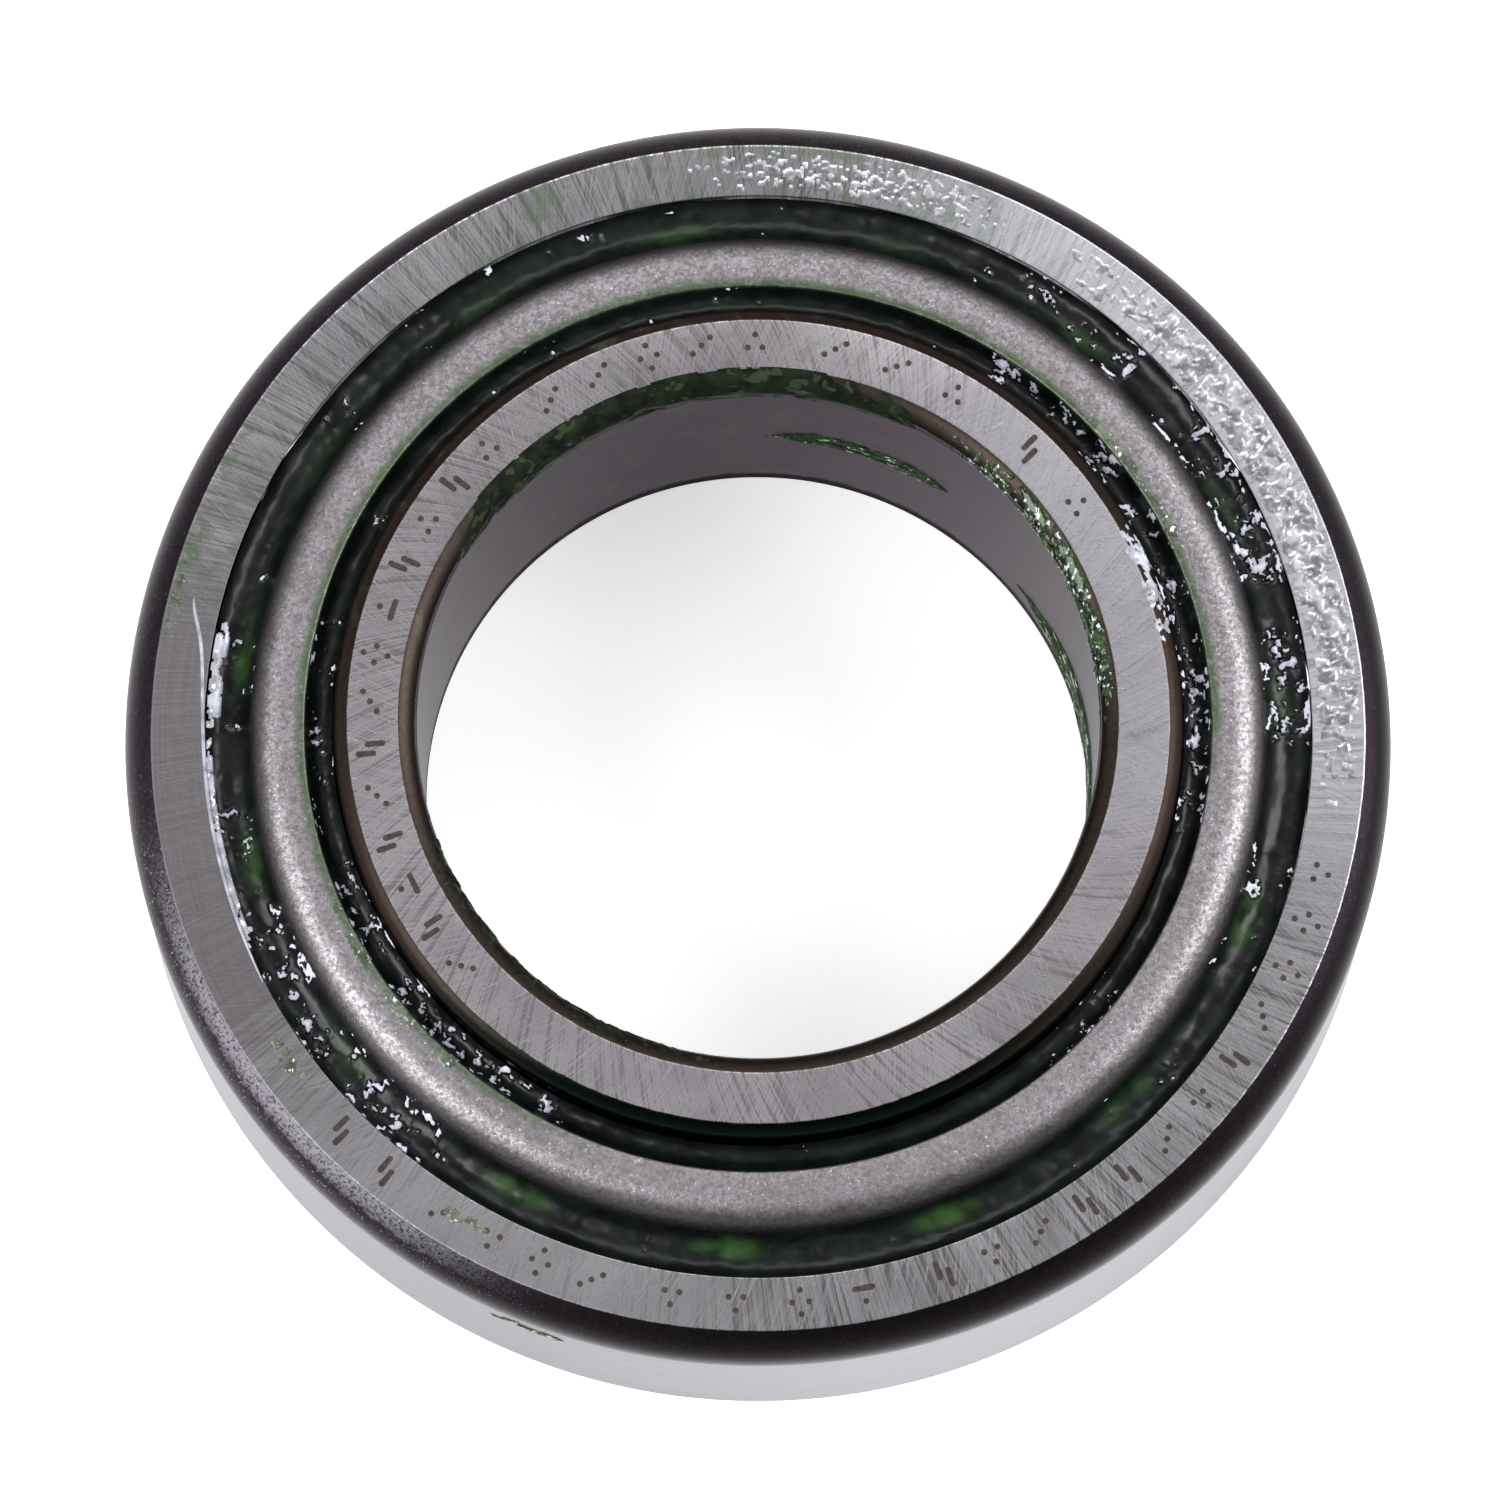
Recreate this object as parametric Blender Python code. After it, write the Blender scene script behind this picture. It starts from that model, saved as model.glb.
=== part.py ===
"""A single-row tapered roller bearing: cup, cone, pressed cage and fifteen rollers.

The bearing stands on the cone's back face. The origin is on its axis in that face, +Z is up and
all lengths are in metres. The two raceways, the rollers and the cage's wall are cones that come
to one point on the axis, the apex, high above the bearing, so the rollers roll without sliding.
"""

import math

import bmesh
import bpy
from mathutils import Matrix

# Driving dimensions

BORE_RADIUS = 0.0174625
BEARING_WIDTH = 0.018034  # cone back face to cup back face
CONE_STANDOUT = 0.00295  # cone front face above the cup back face
CUP_SETBACK = 0.00303  # cup front face above the cone back face
CONE_WALL = 0.00366  # bore to raceway, at the small end of the rollers
CUP_WALL = 0.0015  # raceway to outside, at the cup's front face, its thinnest place

ROLLER_COUNT = 15
FIRST_ROLLER_DEG = 3.3  # from +X, anticlockwise seen from above
ROLLER_SMALL_RADIUS = 0.00375
ROLLER_TILT_DEG = 8.68  # the roller's axis from the bearing's axis
SMALL_END_DEPTH = 0.0020  # middle of the small end below the cup back face
LARGE_END_HEIGHT = 0.0037  # middle of the large end above the cone back face
ROLLER_CORNER = 0.00035

SMALL_RIB_HEIGHT = 0.00062  # above the raceway's small end
LARGE_RIB_HEIGHT = 0.00245  # above the raceway's large end
RELIEF_WIDTH = 0.0009  # grinding relief beside each rib, along the raceway
RELIEF_DEPTH = 0.00035

CAGE_SHEET = 0.0010
CAGE_OFFSET = 0.0010  # middle of the sheet outside the rollers' axes
CAGE_BEND = 0.0015  # radius of the flange's bend, to the middle of the sheet
CAGE_STANDOUT = 0.0014  # top of the flange above the cup back face
CAGE_RIM = 0.0020  # sheet beyond the pockets, at the large end
CAGE_TO_RIB = 0.00145  # flange's edge to the small rib

CUP_BACK_CORNER = (0.0014, 0.0026)  # radial, axial
CUP_FRONT_CORNER = (0.0007, 0.0009)
CONE_FRONT_CORNER = (0.0008, 0.0008)
CONE_BACK_CORNER = (0.0008, 0.0009)
BORE_FRONT_CORNER = (0.00093, 0.0010)
BORE_BACK_CORNER = (0.0013, 0.0015)
CORNER_FULLNESS = 0.12  # how far a corner bulges past its chord, as a share of the chord

# Clearances

RACE_CLEARANCE = 0.00006
LARGE_RIB_CLEARANCE = 0.0001
SMALL_RIB_CLEARANCE = 0.0003
POCKET_CLEARANCE = 0.00028

# How finely the round shapes are divided

RING_SEGMENTS = 96
ROLLER_SEGMENTS = 24
CORNER_STEPS = 2
BEND_STEPS = 4
POCKET_ROW = BEND_STEPS + 2  # after the flange's edge and the bend's points
POCKET_COLUMNS = 4
BAR_COLUMNS = 2
SMOOTH_BELOW = math.radians(30)
WELD = 1e-6

# Where the rollers lie. Distances are from the apex, along a roller's axis.

TILT = math.radians(ROLLER_TILT_DEG)
SMALL_END_HEIGHT = BEARING_WIDTH - SMALL_END_DEPTH
SMALL_END_PITCH = BORE_RADIUS + CONE_WALL + (ROLLER_SMALL_RADIUS + RACE_CLEARANCE) * math.cos(TILT)
SMALL_END = SMALL_END_PITCH / math.sin(TILT)
APEX_HEIGHT = SMALL_END_HEIGHT + SMALL_END * math.cos(TILT)
LARGE_END = (APEX_HEIGHT - LARGE_END_HEIGHT) / math.cos(TILT)
ROLLER_HALF_ANGLE = math.atan2(ROLLER_SMALL_RADIUS, SMALL_END)
CUP_SIDE, CONE_SIDE = 1, -1


def place(distance, offset):
    """The (radius, height) at a distance from the apex and an offset outwards, square to the axis."""
    radius = distance * math.sin(TILT) + offset * math.cos(TILT)
    height = APEX_HEIGHT - distance * math.cos(TILT) + offset * math.sin(TILT)
    return radius, height


def place_at_radius(distance, radius):
    """The point at this radius in the plane square to a roller's axis at this distance."""
    return place(distance, (radius - distance * math.sin(TILT)) / math.cos(TILT))


def race(distance, side, depth=0.0):
    """A point of a raceway, or at a depth under its surface."""
    roller_radius = distance * math.tan(ROLLER_HALF_ANGLE)
    return place(distance, side * (roller_radius + RACE_CLEARANCE + depth))


def race_radius(height, side):
    """The radius at which a raceway's line reaches this height."""
    r1, z1 = race(SMALL_END, side)
    r2, z2 = race(LARGE_END, side)
    return r1 + (r2 - r1) * (height - z1) / (z2 - z1)


def corner(start, end):
    """Points of a slightly full corner, turning left on the way from start to end."""
    (r1, z1), (r2, z2) = start, end
    points = []
    for step in range(CORNER_STEPS + 1):
        share = step / CORNER_STEPS
        bulge = CORNER_FULLNESS * 4 * share * (1 - share)
        radius = r1 + (r2 - r1) * share + (z2 - z1) * bulge
        height = z1 + (z2 - z1) * share - (r2 - r1) * bulge
        points.append((radius, height))
    return points


def cup_profile():
    """The cup's section, anticlockwise from the raceway's mouth in its front face."""
    top = BEARING_WIDTH
    bottom = CUP_SETBACK
    front_radius = race_radius(bottom, CUP_SIDE)
    outside = front_radius + CUP_WALL
    front_radial, front_axial = CUP_FRONT_CORNER
    front_radial = min(front_radial, CUP_WALL / 2)
    back_radial, back_axial = CUP_BACK_CORNER
    return [
        (front_radius, bottom),
        *corner((outside - front_radial, bottom), (outside, bottom + front_axial)),
        *corner((outside, top - back_axial), (outside - back_radial, top)),
        (race_radius(top, CUP_SIDE), top),
    ]


def small_rib_radius():
    return race(SMALL_END, CONE_SIDE)[0] + SMALL_RIB_HEIGHT


def small_rib_profile(top):
    """The small rib and its relief, down from the top of the rib's outside."""
    foot = SMALL_END - SMALL_RIB_CLEARANCE
    rib_radius = small_rib_radius()
    return [
        (rib_radius, top),
        place_at_radius(foot, rib_radius),
        race(foot, CONE_SIDE, RELIEF_DEPTH),
        race(foot + RELIEF_WIDTH - RELIEF_DEPTH, CONE_SIDE, RELIEF_DEPTH),
        race(foot + RELIEF_WIDTH, CONE_SIDE),
    ]


def large_rib_profile(bottom):
    """The large rib's relief and thrust face, down to the foot of the rib's outside."""
    foot = LARGE_END + LARGE_RIB_CLEARANCE
    rib_radius = race(LARGE_END, CONE_SIDE)[0] + LARGE_RIB_HEIGHT
    return [
        race(foot - RELIEF_WIDTH, CONE_SIDE),
        race(foot - RELIEF_WIDTH + RELIEF_DEPTH, CONE_SIDE, RELIEF_DEPTH),
        race(foot, CONE_SIDE, RELIEF_DEPTH),
        place_at_radius(foot, rib_radius),
        (rib_radius, bottom),
    ]


def cone_profile():
    """The cone's section, anticlockwise from the bore's back corner."""
    top = BEARING_WIDTH + CONE_STANDOUT
    bore_back_radial, bore_back_axial = BORE_BACK_CORNER
    bore_front_radial, bore_front_axial = BORE_FRONT_CORNER
    back_radial, back_axial = CONE_BACK_CORNER
    front_radial, front_axial = CONE_FRONT_CORNER
    large_rib = large_rib_profile(back_axial)
    small_rib = small_rib_profile(top - front_axial)
    back_edge = large_rib[-1][0]
    front_edge = small_rib[0][0]
    return [
        *corner((BORE_RADIUS, bore_back_axial), (BORE_RADIUS + bore_back_radial, 0.0)),
        *corner((back_edge - back_radial, 0.0), large_rib.pop()),
        *reversed(large_rib),
        *reversed(small_rib[1:]),
        *corner(small_rib[0], (front_edge - front_radial, top)),
        *corner((BORE_RADIUS + bore_front_radial, top), (BORE_RADIUS, top - bore_front_axial)),
    ]


def roller_profile():
    """Half of a roller's section on its own axis, +Z to the apex, from the large end's middle."""
    length = LARGE_END - SMALL_END
    large_radius = LARGE_END * math.tan(ROLLER_HALF_ANGLE)
    small_radius = ROLLER_SMALL_RADIUS
    return [
        (0.0, -length),
        *corner((large_radius - ROLLER_CORNER, -length), (large_radius, ROLLER_CORNER - length)),
        *corner((small_radius, -ROLLER_CORNER), (small_radius - ROLLER_CORNER, 0.0)),
        (0.0, 0.0),
    ]


def cage_rows():
    """Middle of the cage's sheet as (radius, height), from the flange's edge to the rim."""
    pocket_top = SMALL_END - POCKET_CLEARANCE
    pocket_bottom = LARGE_END + POCKET_CLEARANCE
    flange_height = BEARING_WIDTH + CAGE_STANDOUT - CAGE_SHEET / 2
    bend_height = flange_height - CAGE_BEND
    # The bend's middle lies inside the wall, by its radius. The wall passes the apex at CAGE_OFFSET.
    inset = CAGE_OFFSET - CAGE_BEND
    bend_radius = (inset + (APEX_HEIGHT - bend_height) * math.sin(TILT)) / math.cos(TILT)
    rows = [(small_rib_radius() + CAGE_TO_RIB, flange_height)]
    for step in range(BEND_STEPS + 1):
        angle = math.pi / 2 + (TILT - math.pi / 2) * step / BEND_STEPS
        across = CAGE_BEND * math.cos(angle)
        rows.append((bend_radius + across, bend_height + CAGE_BEND * math.sin(angle)))
    rows.append(place(pocket_top, CAGE_OFFSET))
    rows.append(place(pocket_bottom, CAGE_OFFSET))
    rows.append(place(pocket_bottom + CAGE_RIM, CAGE_OFFSET))
    return rows


def cage_angles():
    """Angles of the cage's columns, each roller's pocket first and then the bar after it."""
    wall_radius = place(SMALL_END, CAGE_OFFSET)[0]
    pocket_half = math.asin((ROLLER_SMALL_RADIUS + POCKET_CLEARANCE) / wall_radius)
    bar = math.tau / ROLLER_COUNT - 2 * pocket_half
    angles = []
    for roller in range(ROLLER_COUNT):
        start = roller_angle(roller) - pocket_half
        end = start + 2 * pocket_half
        angles += [start + 2 * pocket_half * step / POCKET_COLUMNS for step in range(POCKET_COLUMNS)]
        angles += [end + bar * step / BAR_COLUMNS for step in range(BAR_COLUMNS)]
    return angles


def roller_angle(index):
    return math.radians(FIRST_ROLLER_DEG) + math.tau * index / ROLLER_COUNT


def clear_scene():
    for thing in list(bpy.data.objects):
        bpy.data.objects.remove(thing, do_unlink=True)


def steel(name, colour, roughness):
    """A metal with one colour and roughness."""
    material = bpy.data.materials.new(name)
    material.use_nodes = True
    shader = material.node_tree.nodes["Principled BSDF"]
    shader.inputs["Base Color"].default_value = (*colour, 1.0)
    shader.inputs["Roughness"].default_value = roughness
    shader.inputs["Metallic"].default_value = 1.0
    return material


def finished_mesh(name, form, material):
    """The bmesh as a smooth-shaded mesh with its faces pointing out."""
    bmesh.ops.recalc_face_normals(form, faces=form.faces)
    mesh = bpy.data.meshes.new(name)
    form.to_mesh(mesh)
    form.free()
    mesh.shade_smooth()
    mesh.set_sharp_from_angle(angle=SMOOTH_BELOW)
    mesh.materials.append(material)
    return mesh


def turned_mesh(name, profile, segments, material, closed=True):
    """A mesh turned about +Z from (radius, height) points. An open profile ends on the axis."""
    form = bmesh.new()
    points = [form.verts.new((radius, 0.0, height)) for radius, height in profile]
    edges = [form.edges.new(pair) for pair in zip(points, points[1:])]
    if closed:
        edges.append(form.edges.new((points[-1], points[0])))
    bmesh.ops.spin(
        form,
        geom=points + edges,
        cent=(0.0, 0.0, 0.0),
        axis=(0.0, 0.0, 1.0),
        angle=math.tau,
        steps=segments,
        use_duplicate=False,
    )
    bmesh.ops.remove_doubles(form, verts=form.verts, dist=WELD)
    return finished_mesh(name, form, material)


def cage_mesh(name, material):
    """The cage's sheet with its pockets left open, before it gets its thickness."""
    form = bmesh.new()
    columns = cage_angles()
    grid = []
    for radius, height in cage_rows():
        ring = [(radius * math.cos(angle), radius * math.sin(angle), height) for angle in columns]
        grid.append([form.verts.new(point) for point in ring])
    for row, (upper, lower) in enumerate(zip(grid, grid[1:])):
        for column in range(len(columns)):
            in_pocket = column % (POCKET_COLUMNS + BAR_COLUMNS) < POCKET_COLUMNS
            if row == POCKET_ROW and in_pocket:
                continue
            after = (column + 1) % len(columns)
            form.faces.new((upper[column], lower[column], lower[after], upper[after]))
    return finished_mesh(name, form, material)


def add(name, mesh):
    thing = bpy.data.objects.new(name, mesh)
    bpy.context.collection.objects.link(thing)
    return thing


def add_cup():
    finish = steel("cup_steel", (0.56, 0.54, 0.58), 0.28)
    return add("cup", turned_mesh("cup", cup_profile(), RING_SEGMENTS, finish))


def add_cone():
    finish = steel("cone_steel", (0.50, 0.48, 0.51), 0.28)
    return add("cone", turned_mesh("cone", cone_profile(), RING_SEGMENTS, finish))


def add_cage():
    finish = steel("cage_steel", (0.38, 0.35, 0.34), 0.5)
    cage = add("cage", cage_mesh("cage", finish))
    thickness = cage.modifiers.new("Sheet thickness", "SOLIDIFY")
    thickness.thickness = CAGE_SHEET
    thickness.offset = 0.0
    thickness.use_even_offset = True
    return cage


def add_rollers(cage):
    """Fifteen rollers of one mesh, each with its origin on its own axis, in its small end."""
    finish = steel("roller_steel", (0.60, 0.60, 0.62), 0.2)
    mesh = turned_mesh("roller", roller_profile(), ROLLER_SEGMENTS, finish, closed=False)
    lean = Matrix.Rotation(-TILT, 4, "Y")
    seat = Matrix.Translation((SMALL_END_PITCH, 0.0, SMALL_END_HEIGHT))
    for index in range(ROLLER_COUNT):
        roller = add(f"roller_{index + 1:02d}", mesh)
        roller.parent = cage
        roller.matrix_world = Matrix.Rotation(roller_angle(index), 4, "Z") @ seat @ lean


clear_scene()
add_cup()
add_cone()
add_rollers(add_cage())
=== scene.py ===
# %% [markdown]
# # A greased tapered roller bearing
# A tapered roller bearing is an outer ring (the cup), an inner ring (the cone), a pressed steel
# cage and a ring of tapered rollers, packed with grease. This lesson dresses the measured model of
# one: every ring and roller is made again with finer edges and a worked surface, and the grease
# is laid on. The measured model is loaded first. It is never changed, and every new piece
# rides on one of its bodies, so the bearing still turns.

# %% Load the measured model
import math
import random

import bpy
from mathutils import Matrix, Vector, noise


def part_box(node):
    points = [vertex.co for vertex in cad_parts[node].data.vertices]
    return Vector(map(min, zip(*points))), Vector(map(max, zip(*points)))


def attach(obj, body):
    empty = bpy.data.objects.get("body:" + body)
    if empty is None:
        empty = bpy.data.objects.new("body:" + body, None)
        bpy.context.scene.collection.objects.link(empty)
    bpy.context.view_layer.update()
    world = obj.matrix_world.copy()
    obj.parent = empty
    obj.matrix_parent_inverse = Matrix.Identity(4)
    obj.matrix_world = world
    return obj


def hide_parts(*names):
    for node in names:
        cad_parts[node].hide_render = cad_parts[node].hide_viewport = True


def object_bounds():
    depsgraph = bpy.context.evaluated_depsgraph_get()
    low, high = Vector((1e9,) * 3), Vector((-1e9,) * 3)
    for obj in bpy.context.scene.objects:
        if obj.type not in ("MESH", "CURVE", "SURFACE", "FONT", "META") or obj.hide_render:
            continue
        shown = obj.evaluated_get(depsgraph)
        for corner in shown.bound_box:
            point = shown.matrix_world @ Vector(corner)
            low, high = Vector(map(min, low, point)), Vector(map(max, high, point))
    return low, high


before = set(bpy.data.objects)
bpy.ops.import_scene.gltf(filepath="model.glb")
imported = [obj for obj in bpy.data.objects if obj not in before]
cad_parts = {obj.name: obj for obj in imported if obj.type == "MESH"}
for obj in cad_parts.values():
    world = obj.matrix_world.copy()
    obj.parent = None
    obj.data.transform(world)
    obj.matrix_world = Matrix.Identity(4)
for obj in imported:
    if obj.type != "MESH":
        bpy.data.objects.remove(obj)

MM = 0.001
cad_low, cad_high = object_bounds()


def measured(node):
    """The bottom, outer radius and top of a ring of the measured model, in millimetres."""
    low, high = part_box(node)
    return [round(value / MM, 3) for value in (low.z, high.x, high.z)]


CUP_FOOT, CUP_RADIUS, CUP_FACE_Z = measured("cup")
CONE_FOOT, CONE_RADIUS, CONE_FACE_Z = measured("cone")
print("cup face at", CUP_FACE_Z, "and cone face at", CONE_FACE_Z, "mm")

# %% [markdown]
# ## Camera, floor and light
# A long lens far away keeps the rings almost true ellipses, so that their edges stay easy to read.
# The camera's axes are written out from its tilt and roll, which is surer than aiming it by eye.
# The floor and the room are nearly white, so that bright steel has something pale to mirror, and
# two soft boxes at the sides draw the highlights along the rolled edge of the cage.

# %% Camera
CUP_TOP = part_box("cup")[1].z
CAMERA_TILT = math.radians(77.6)
CAMERA_ROLL = math.radians(0.54)
CAMERA_DISTANCE = 0.550
LENS_MM = 257.28
FRAME_SHIFT = (0.00042, 0.00099)


def add_camera():
    back = Vector((0.0, -math.cos(CAMERA_TILT), math.sin(CAMERA_TILT)))
    side = Vector((1.0, 0.0, 0.0))
    up = back.cross(side)
    right = math.cos(CAMERA_ROLL) * side + math.sin(CAMERA_ROLL) * up
    top = math.cos(CAMERA_ROLL) * up - math.sin(CAMERA_ROLL) * side
    target = Vector((0.0, 0.0, CUP_TOP))
    place = target + CAMERA_DISTANCE * back - FRAME_SHIFT[0] * right - FRAME_SHIFT[1] * top
    bpy.ops.object.camera_add()
    camera = bpy.context.object
    turn = Matrix((right, top, back)).transposed().to_4x4()
    camera.matrix_world = Matrix.Translation(place) @ turn
    camera.data.lens = LENS_MM
    camera.data.sensor_width = 36.0
    camera.data.clip_start = 0.01
    camera.data.clip_end = 50.0
    bpy.context.scene.camera = camera
    return camera


camera = add_camera()
print("camera stands", round(camera.location.length, 3), "m from the bearing")

# %% Light
CEILING_GREY = (0.20, 0.20, 0.215, 1.0)
HORIZON_WHITE = (0.93, 0.93, 0.97, 1.0)
# Each soft box: azimuth and height in degrees, distance, width and length in metres, power in watts.
SOFT_BOXES = (
    ("left box", 206, 40, 0.50, 0.26, 0.36, 2.3),
    ("right box", 8, 38, 0.50, 0.26, 0.36, 2.2),
    ("back box", 95, 52, 0.55, 0.36, 0.20, 0.7),
)


def add_soft_box(name, azimuth, height, distance, width, length, power):
    across = math.radians(azimuth)
    rise = math.radians(height)
    way = Vector((math.cos(across) * math.cos(rise), math.sin(across) * math.cos(rise), math.sin(rise)))
    bpy.ops.object.light_add(type="AREA", location=way * distance)
    box = bpy.context.object
    box.name = name
    box.rotation_euler = way.to_track_quat("Z", "Y").to_euler()
    box.data.shape = "RECTANGLE"
    box.data.size = width
    box.data.size_y = length
    box.data.energy = power
    return box


def light_room():
    world = bpy.data.worlds.new("studio")
    bpy.context.scene.world = world
    world.use_nodes = True
    tree = world.node_tree
    way = tree.nodes.new("ShaderNodeTexCoord").outputs["Generated"]
    split = tree.nodes.new("ShaderNodeSeparateXYZ")
    ramp = tree.nodes.new("ShaderNodeValToRGB")
    ramp.color_ramp.elements[0].color = HORIZON_WHITE
    ramp.color_ramp.elements[0].position = 0.15
    ramp.color_ramp.elements[1].color = CEILING_GREY
    ramp.color_ramp.elements[1].position = 0.85
    tree.links.new(way, split.inputs[0])
    tree.links.new(split.outputs["Z"], ramp.inputs[0])
    tree.links.new(ramp.outputs[0], tree.nodes["Background"].inputs["Color"])


light_room()
for soft_box in SOFT_BOXES:
    add_soft_box(*soft_box)
bpy.context.scene.view_settings.view_transform = "Standard"
print("soft boxes:", len(SOFT_BOXES))

# %% [markdown]
# ## Small tools for materials
# A node tree is easier to read as a chain of short lines than as a drawing. `add_node` places one
# node and links or fills its inputs, and the helpers after it name the few sums that every finish
# needs.


# %% Material tools
def add_node(tree, kind, inputs=None, **settings):
    """Places a node. An input may be a value or another node's output."""
    node = tree.nodes.new(kind)
    for label, value in settings.items():
        setattr(node, label, value)
    for label, value in (inputs or {}).items():
        if isinstance(value, bpy.types.NodeSocket):
            tree.links.new(value, node.inputs[label])
        else:
            node.inputs[label].default_value = value
    return node


def maths(tree, operation, *values):
    node = add_node(tree, "ShaderNodeMath", dict(enumerate(values)), operation=operation)
    return node.outputs[0]


def times(tree, first, *others):
    for other in others:
        first = maths(tree, "MULTIPLY", first, other)
    return first


def rescale(tree, value, low, high, to_low=0.0, to_high=1.0):
    """Stretches low..high to to_low..to_high, eased at both ends."""
    inputs = {"Value": value, "From Min": low, "From Max": high, "To Min": to_low, "To Max": to_high}
    node = add_node(tree, "ShaderNodeMapRange", inputs, interpolation_type="SMOOTHSTEP")
    return node.outputs["Result"]


def blend_colours(tree, share, first, second, way="MIX"):
    node = add_node(tree, "ShaderNodeMix", data_type="RGBA", blend_type=way)
    for slot, value in ((0, share), (6, first), (7, second)):
        if isinstance(value, bpy.types.NodeSocket):
            tree.links.new(value, node.inputs[slot])
        else:
            node.inputs[slot].default_value = value
    return node.outputs[2]


def grey_noise(tree, place, scale, detail=3.0, roughness=0.55, distortion=0.0):
    inputs = {"Vector": place, "Scale": scale, "Detail": detail, "Roughness": roughness}
    inputs["Distortion"] = distortion
    return add_node(tree, "ShaderNodeTexNoise", inputs).outputs["Fac"]


def object_place(tree):
    return add_node(tree, "ShaderNodeTexCoord").outputs["Object"]


def new_group(name, inputs, outputs):
    """A node group with number inputs (name, value) and outputs (name, kind)."""
    tree = bpy.data.node_groups.new(name, "ShaderNodeTree")
    for label, value in inputs:
        socket = tree.interface.new_socket(name=label, in_out="INPUT", socket_type="NodeSocketFloat")
        socket.default_value = value
    for label, kind in outputs:
        tree.interface.new_socket(name=label, in_out="OUTPUT", socket_type=kind)
    return tree, tree.nodes.new("NodeGroupInput").outputs, tree.nodes.new("NodeGroupOutput").inputs


def use_group(tree, group, **inputs):
    node = add_node(tree, "ShaderNodeGroup", node_tree=group)
    for label, value in inputs.items():
        label = label.replace("_", " ")
        if isinstance(value, bpy.types.NodeSocket):
            tree.links.new(value, node.inputs[label])
        else:
            node.inputs[label].default_value = value
    return node.outputs


def rgb(red, green, blue):
    """A colour as it looks on screen, 0 to 255, turned into light values."""
    shares = [value / 255 for value in (red, green, blue)]
    light = [s / 12.92 if s <= 0.04045 else ((s + 0.055) / 1.055) ** 2.4 for s in shares]
    return (*light, 1.0)


print("material tools ready")

# %% [markdown]
# ## Shared effects
# Everything on a bearing goes round its axis, so the effects think in radius, height and
# direction instead of x, y and z. Five small groups are shared by the finishes: where a point is,
# the lay of a grinding wheel's strokes, a ring-shaped zone with an uneven border, a patch that
# covers only part of the turn, and a torn smear.


# %% Where a point is on the ring
def make_ring_place():
    tree, _, outs = new_group(
        "ring place", [],
        [("Radius", "NodeSocketFloat"), ("Height", "NodeSocketFloat"), ("Way", "NodeSocketVector"),
         ("Place", "NodeSocketVector")],
    )
    spot = object_place(tree)
    scaled = add_node(tree, "ShaderNodeVectorMath", {0: spot, "Scale": 1 / MM}, operation="SCALE").outputs[0]
    split = add_node(tree, "ShaderNodeSeparateXYZ", {0: scaled}).outputs
    flat = add_node(tree, "ShaderNodeCombineXYZ", {"X": split["X"], "Y": split["Y"]}).outputs[0]
    way = add_node(tree, "ShaderNodeVectorMath", {0: flat}, operation="NORMALIZE").outputs[0]
    length = add_node(tree, "ShaderNodeVectorMath", {0: flat}, operation="LENGTH").outputs["Value"]
    for label, value in (("Radius", length), ("Height", split["Z"]), ("Way", way), ("Place", scaled)):
        tree.links.new(value, outs[label])
    return tree


RING_PLACE = make_ring_place()
print("group:", RING_PLACE.name, "in millimetres")


# %% Grinding strokes
def make_strokes():
    """Long thin scratches. Around: how fine round the ring. Lean: how far they slant, in radians a mm."""
    tree, ins, outs = new_group(
        "grinding strokes",
        [("Around", 200.0), ("Inward", 0.3), ("Upward", 0.0), ("Lean", 0.0), ("Seed", 0.0)],
        [("Strokes", "NodeSocketFloat")],
    )
    ring = use_group(tree, RING_PLACE)
    turn = times(tree, ring["Radius"], ins["Lean"])
    slant = add_node(
        tree, "ShaderNodeVectorRotate", {"Vector": ring["Way"], "Angle": turn}, rotation_type="Z_AXIS"
    ).outputs[0]
    wide = add_node(
        tree, "ShaderNodeVectorMath", {0: slant, "Scale": ins["Around"]}, operation="SCALE"
    ).outputs[0]
    inward = times(tree, ring["Radius"], ins["Inward"])
    upward = maths(tree, "MULTIPLY_ADD", ring["Height"], ins["Upward"], inward)
    level = maths(tree, "ADD", upward, ins["Seed"])
    lift = add_node(tree, "ShaderNodeCombineXYZ", {"Z": level}).outputs[0]
    place = add_node(tree, "ShaderNodeVectorMath", {0: wide, 1: lift}, operation="ADD").outputs[0]
    grain = grey_noise(tree, place, 1.0, detail=2.0, roughness=0.6)
    tree.links.new(rescale(tree, grain, 0.25, 0.75), outs["Strokes"])
    return tree


STROKES = make_strokes()


def strokes(tree, around, inward, lean=0.0, seed=0.0, upward=0.0):
    values = {"Around": around, "Inward": inward, "Upward": upward, "Lean": lean, "Seed": seed}
    return use_group(tree, STROKES, **values)["Strokes"]


print("group:", STROKES.name)


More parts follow.
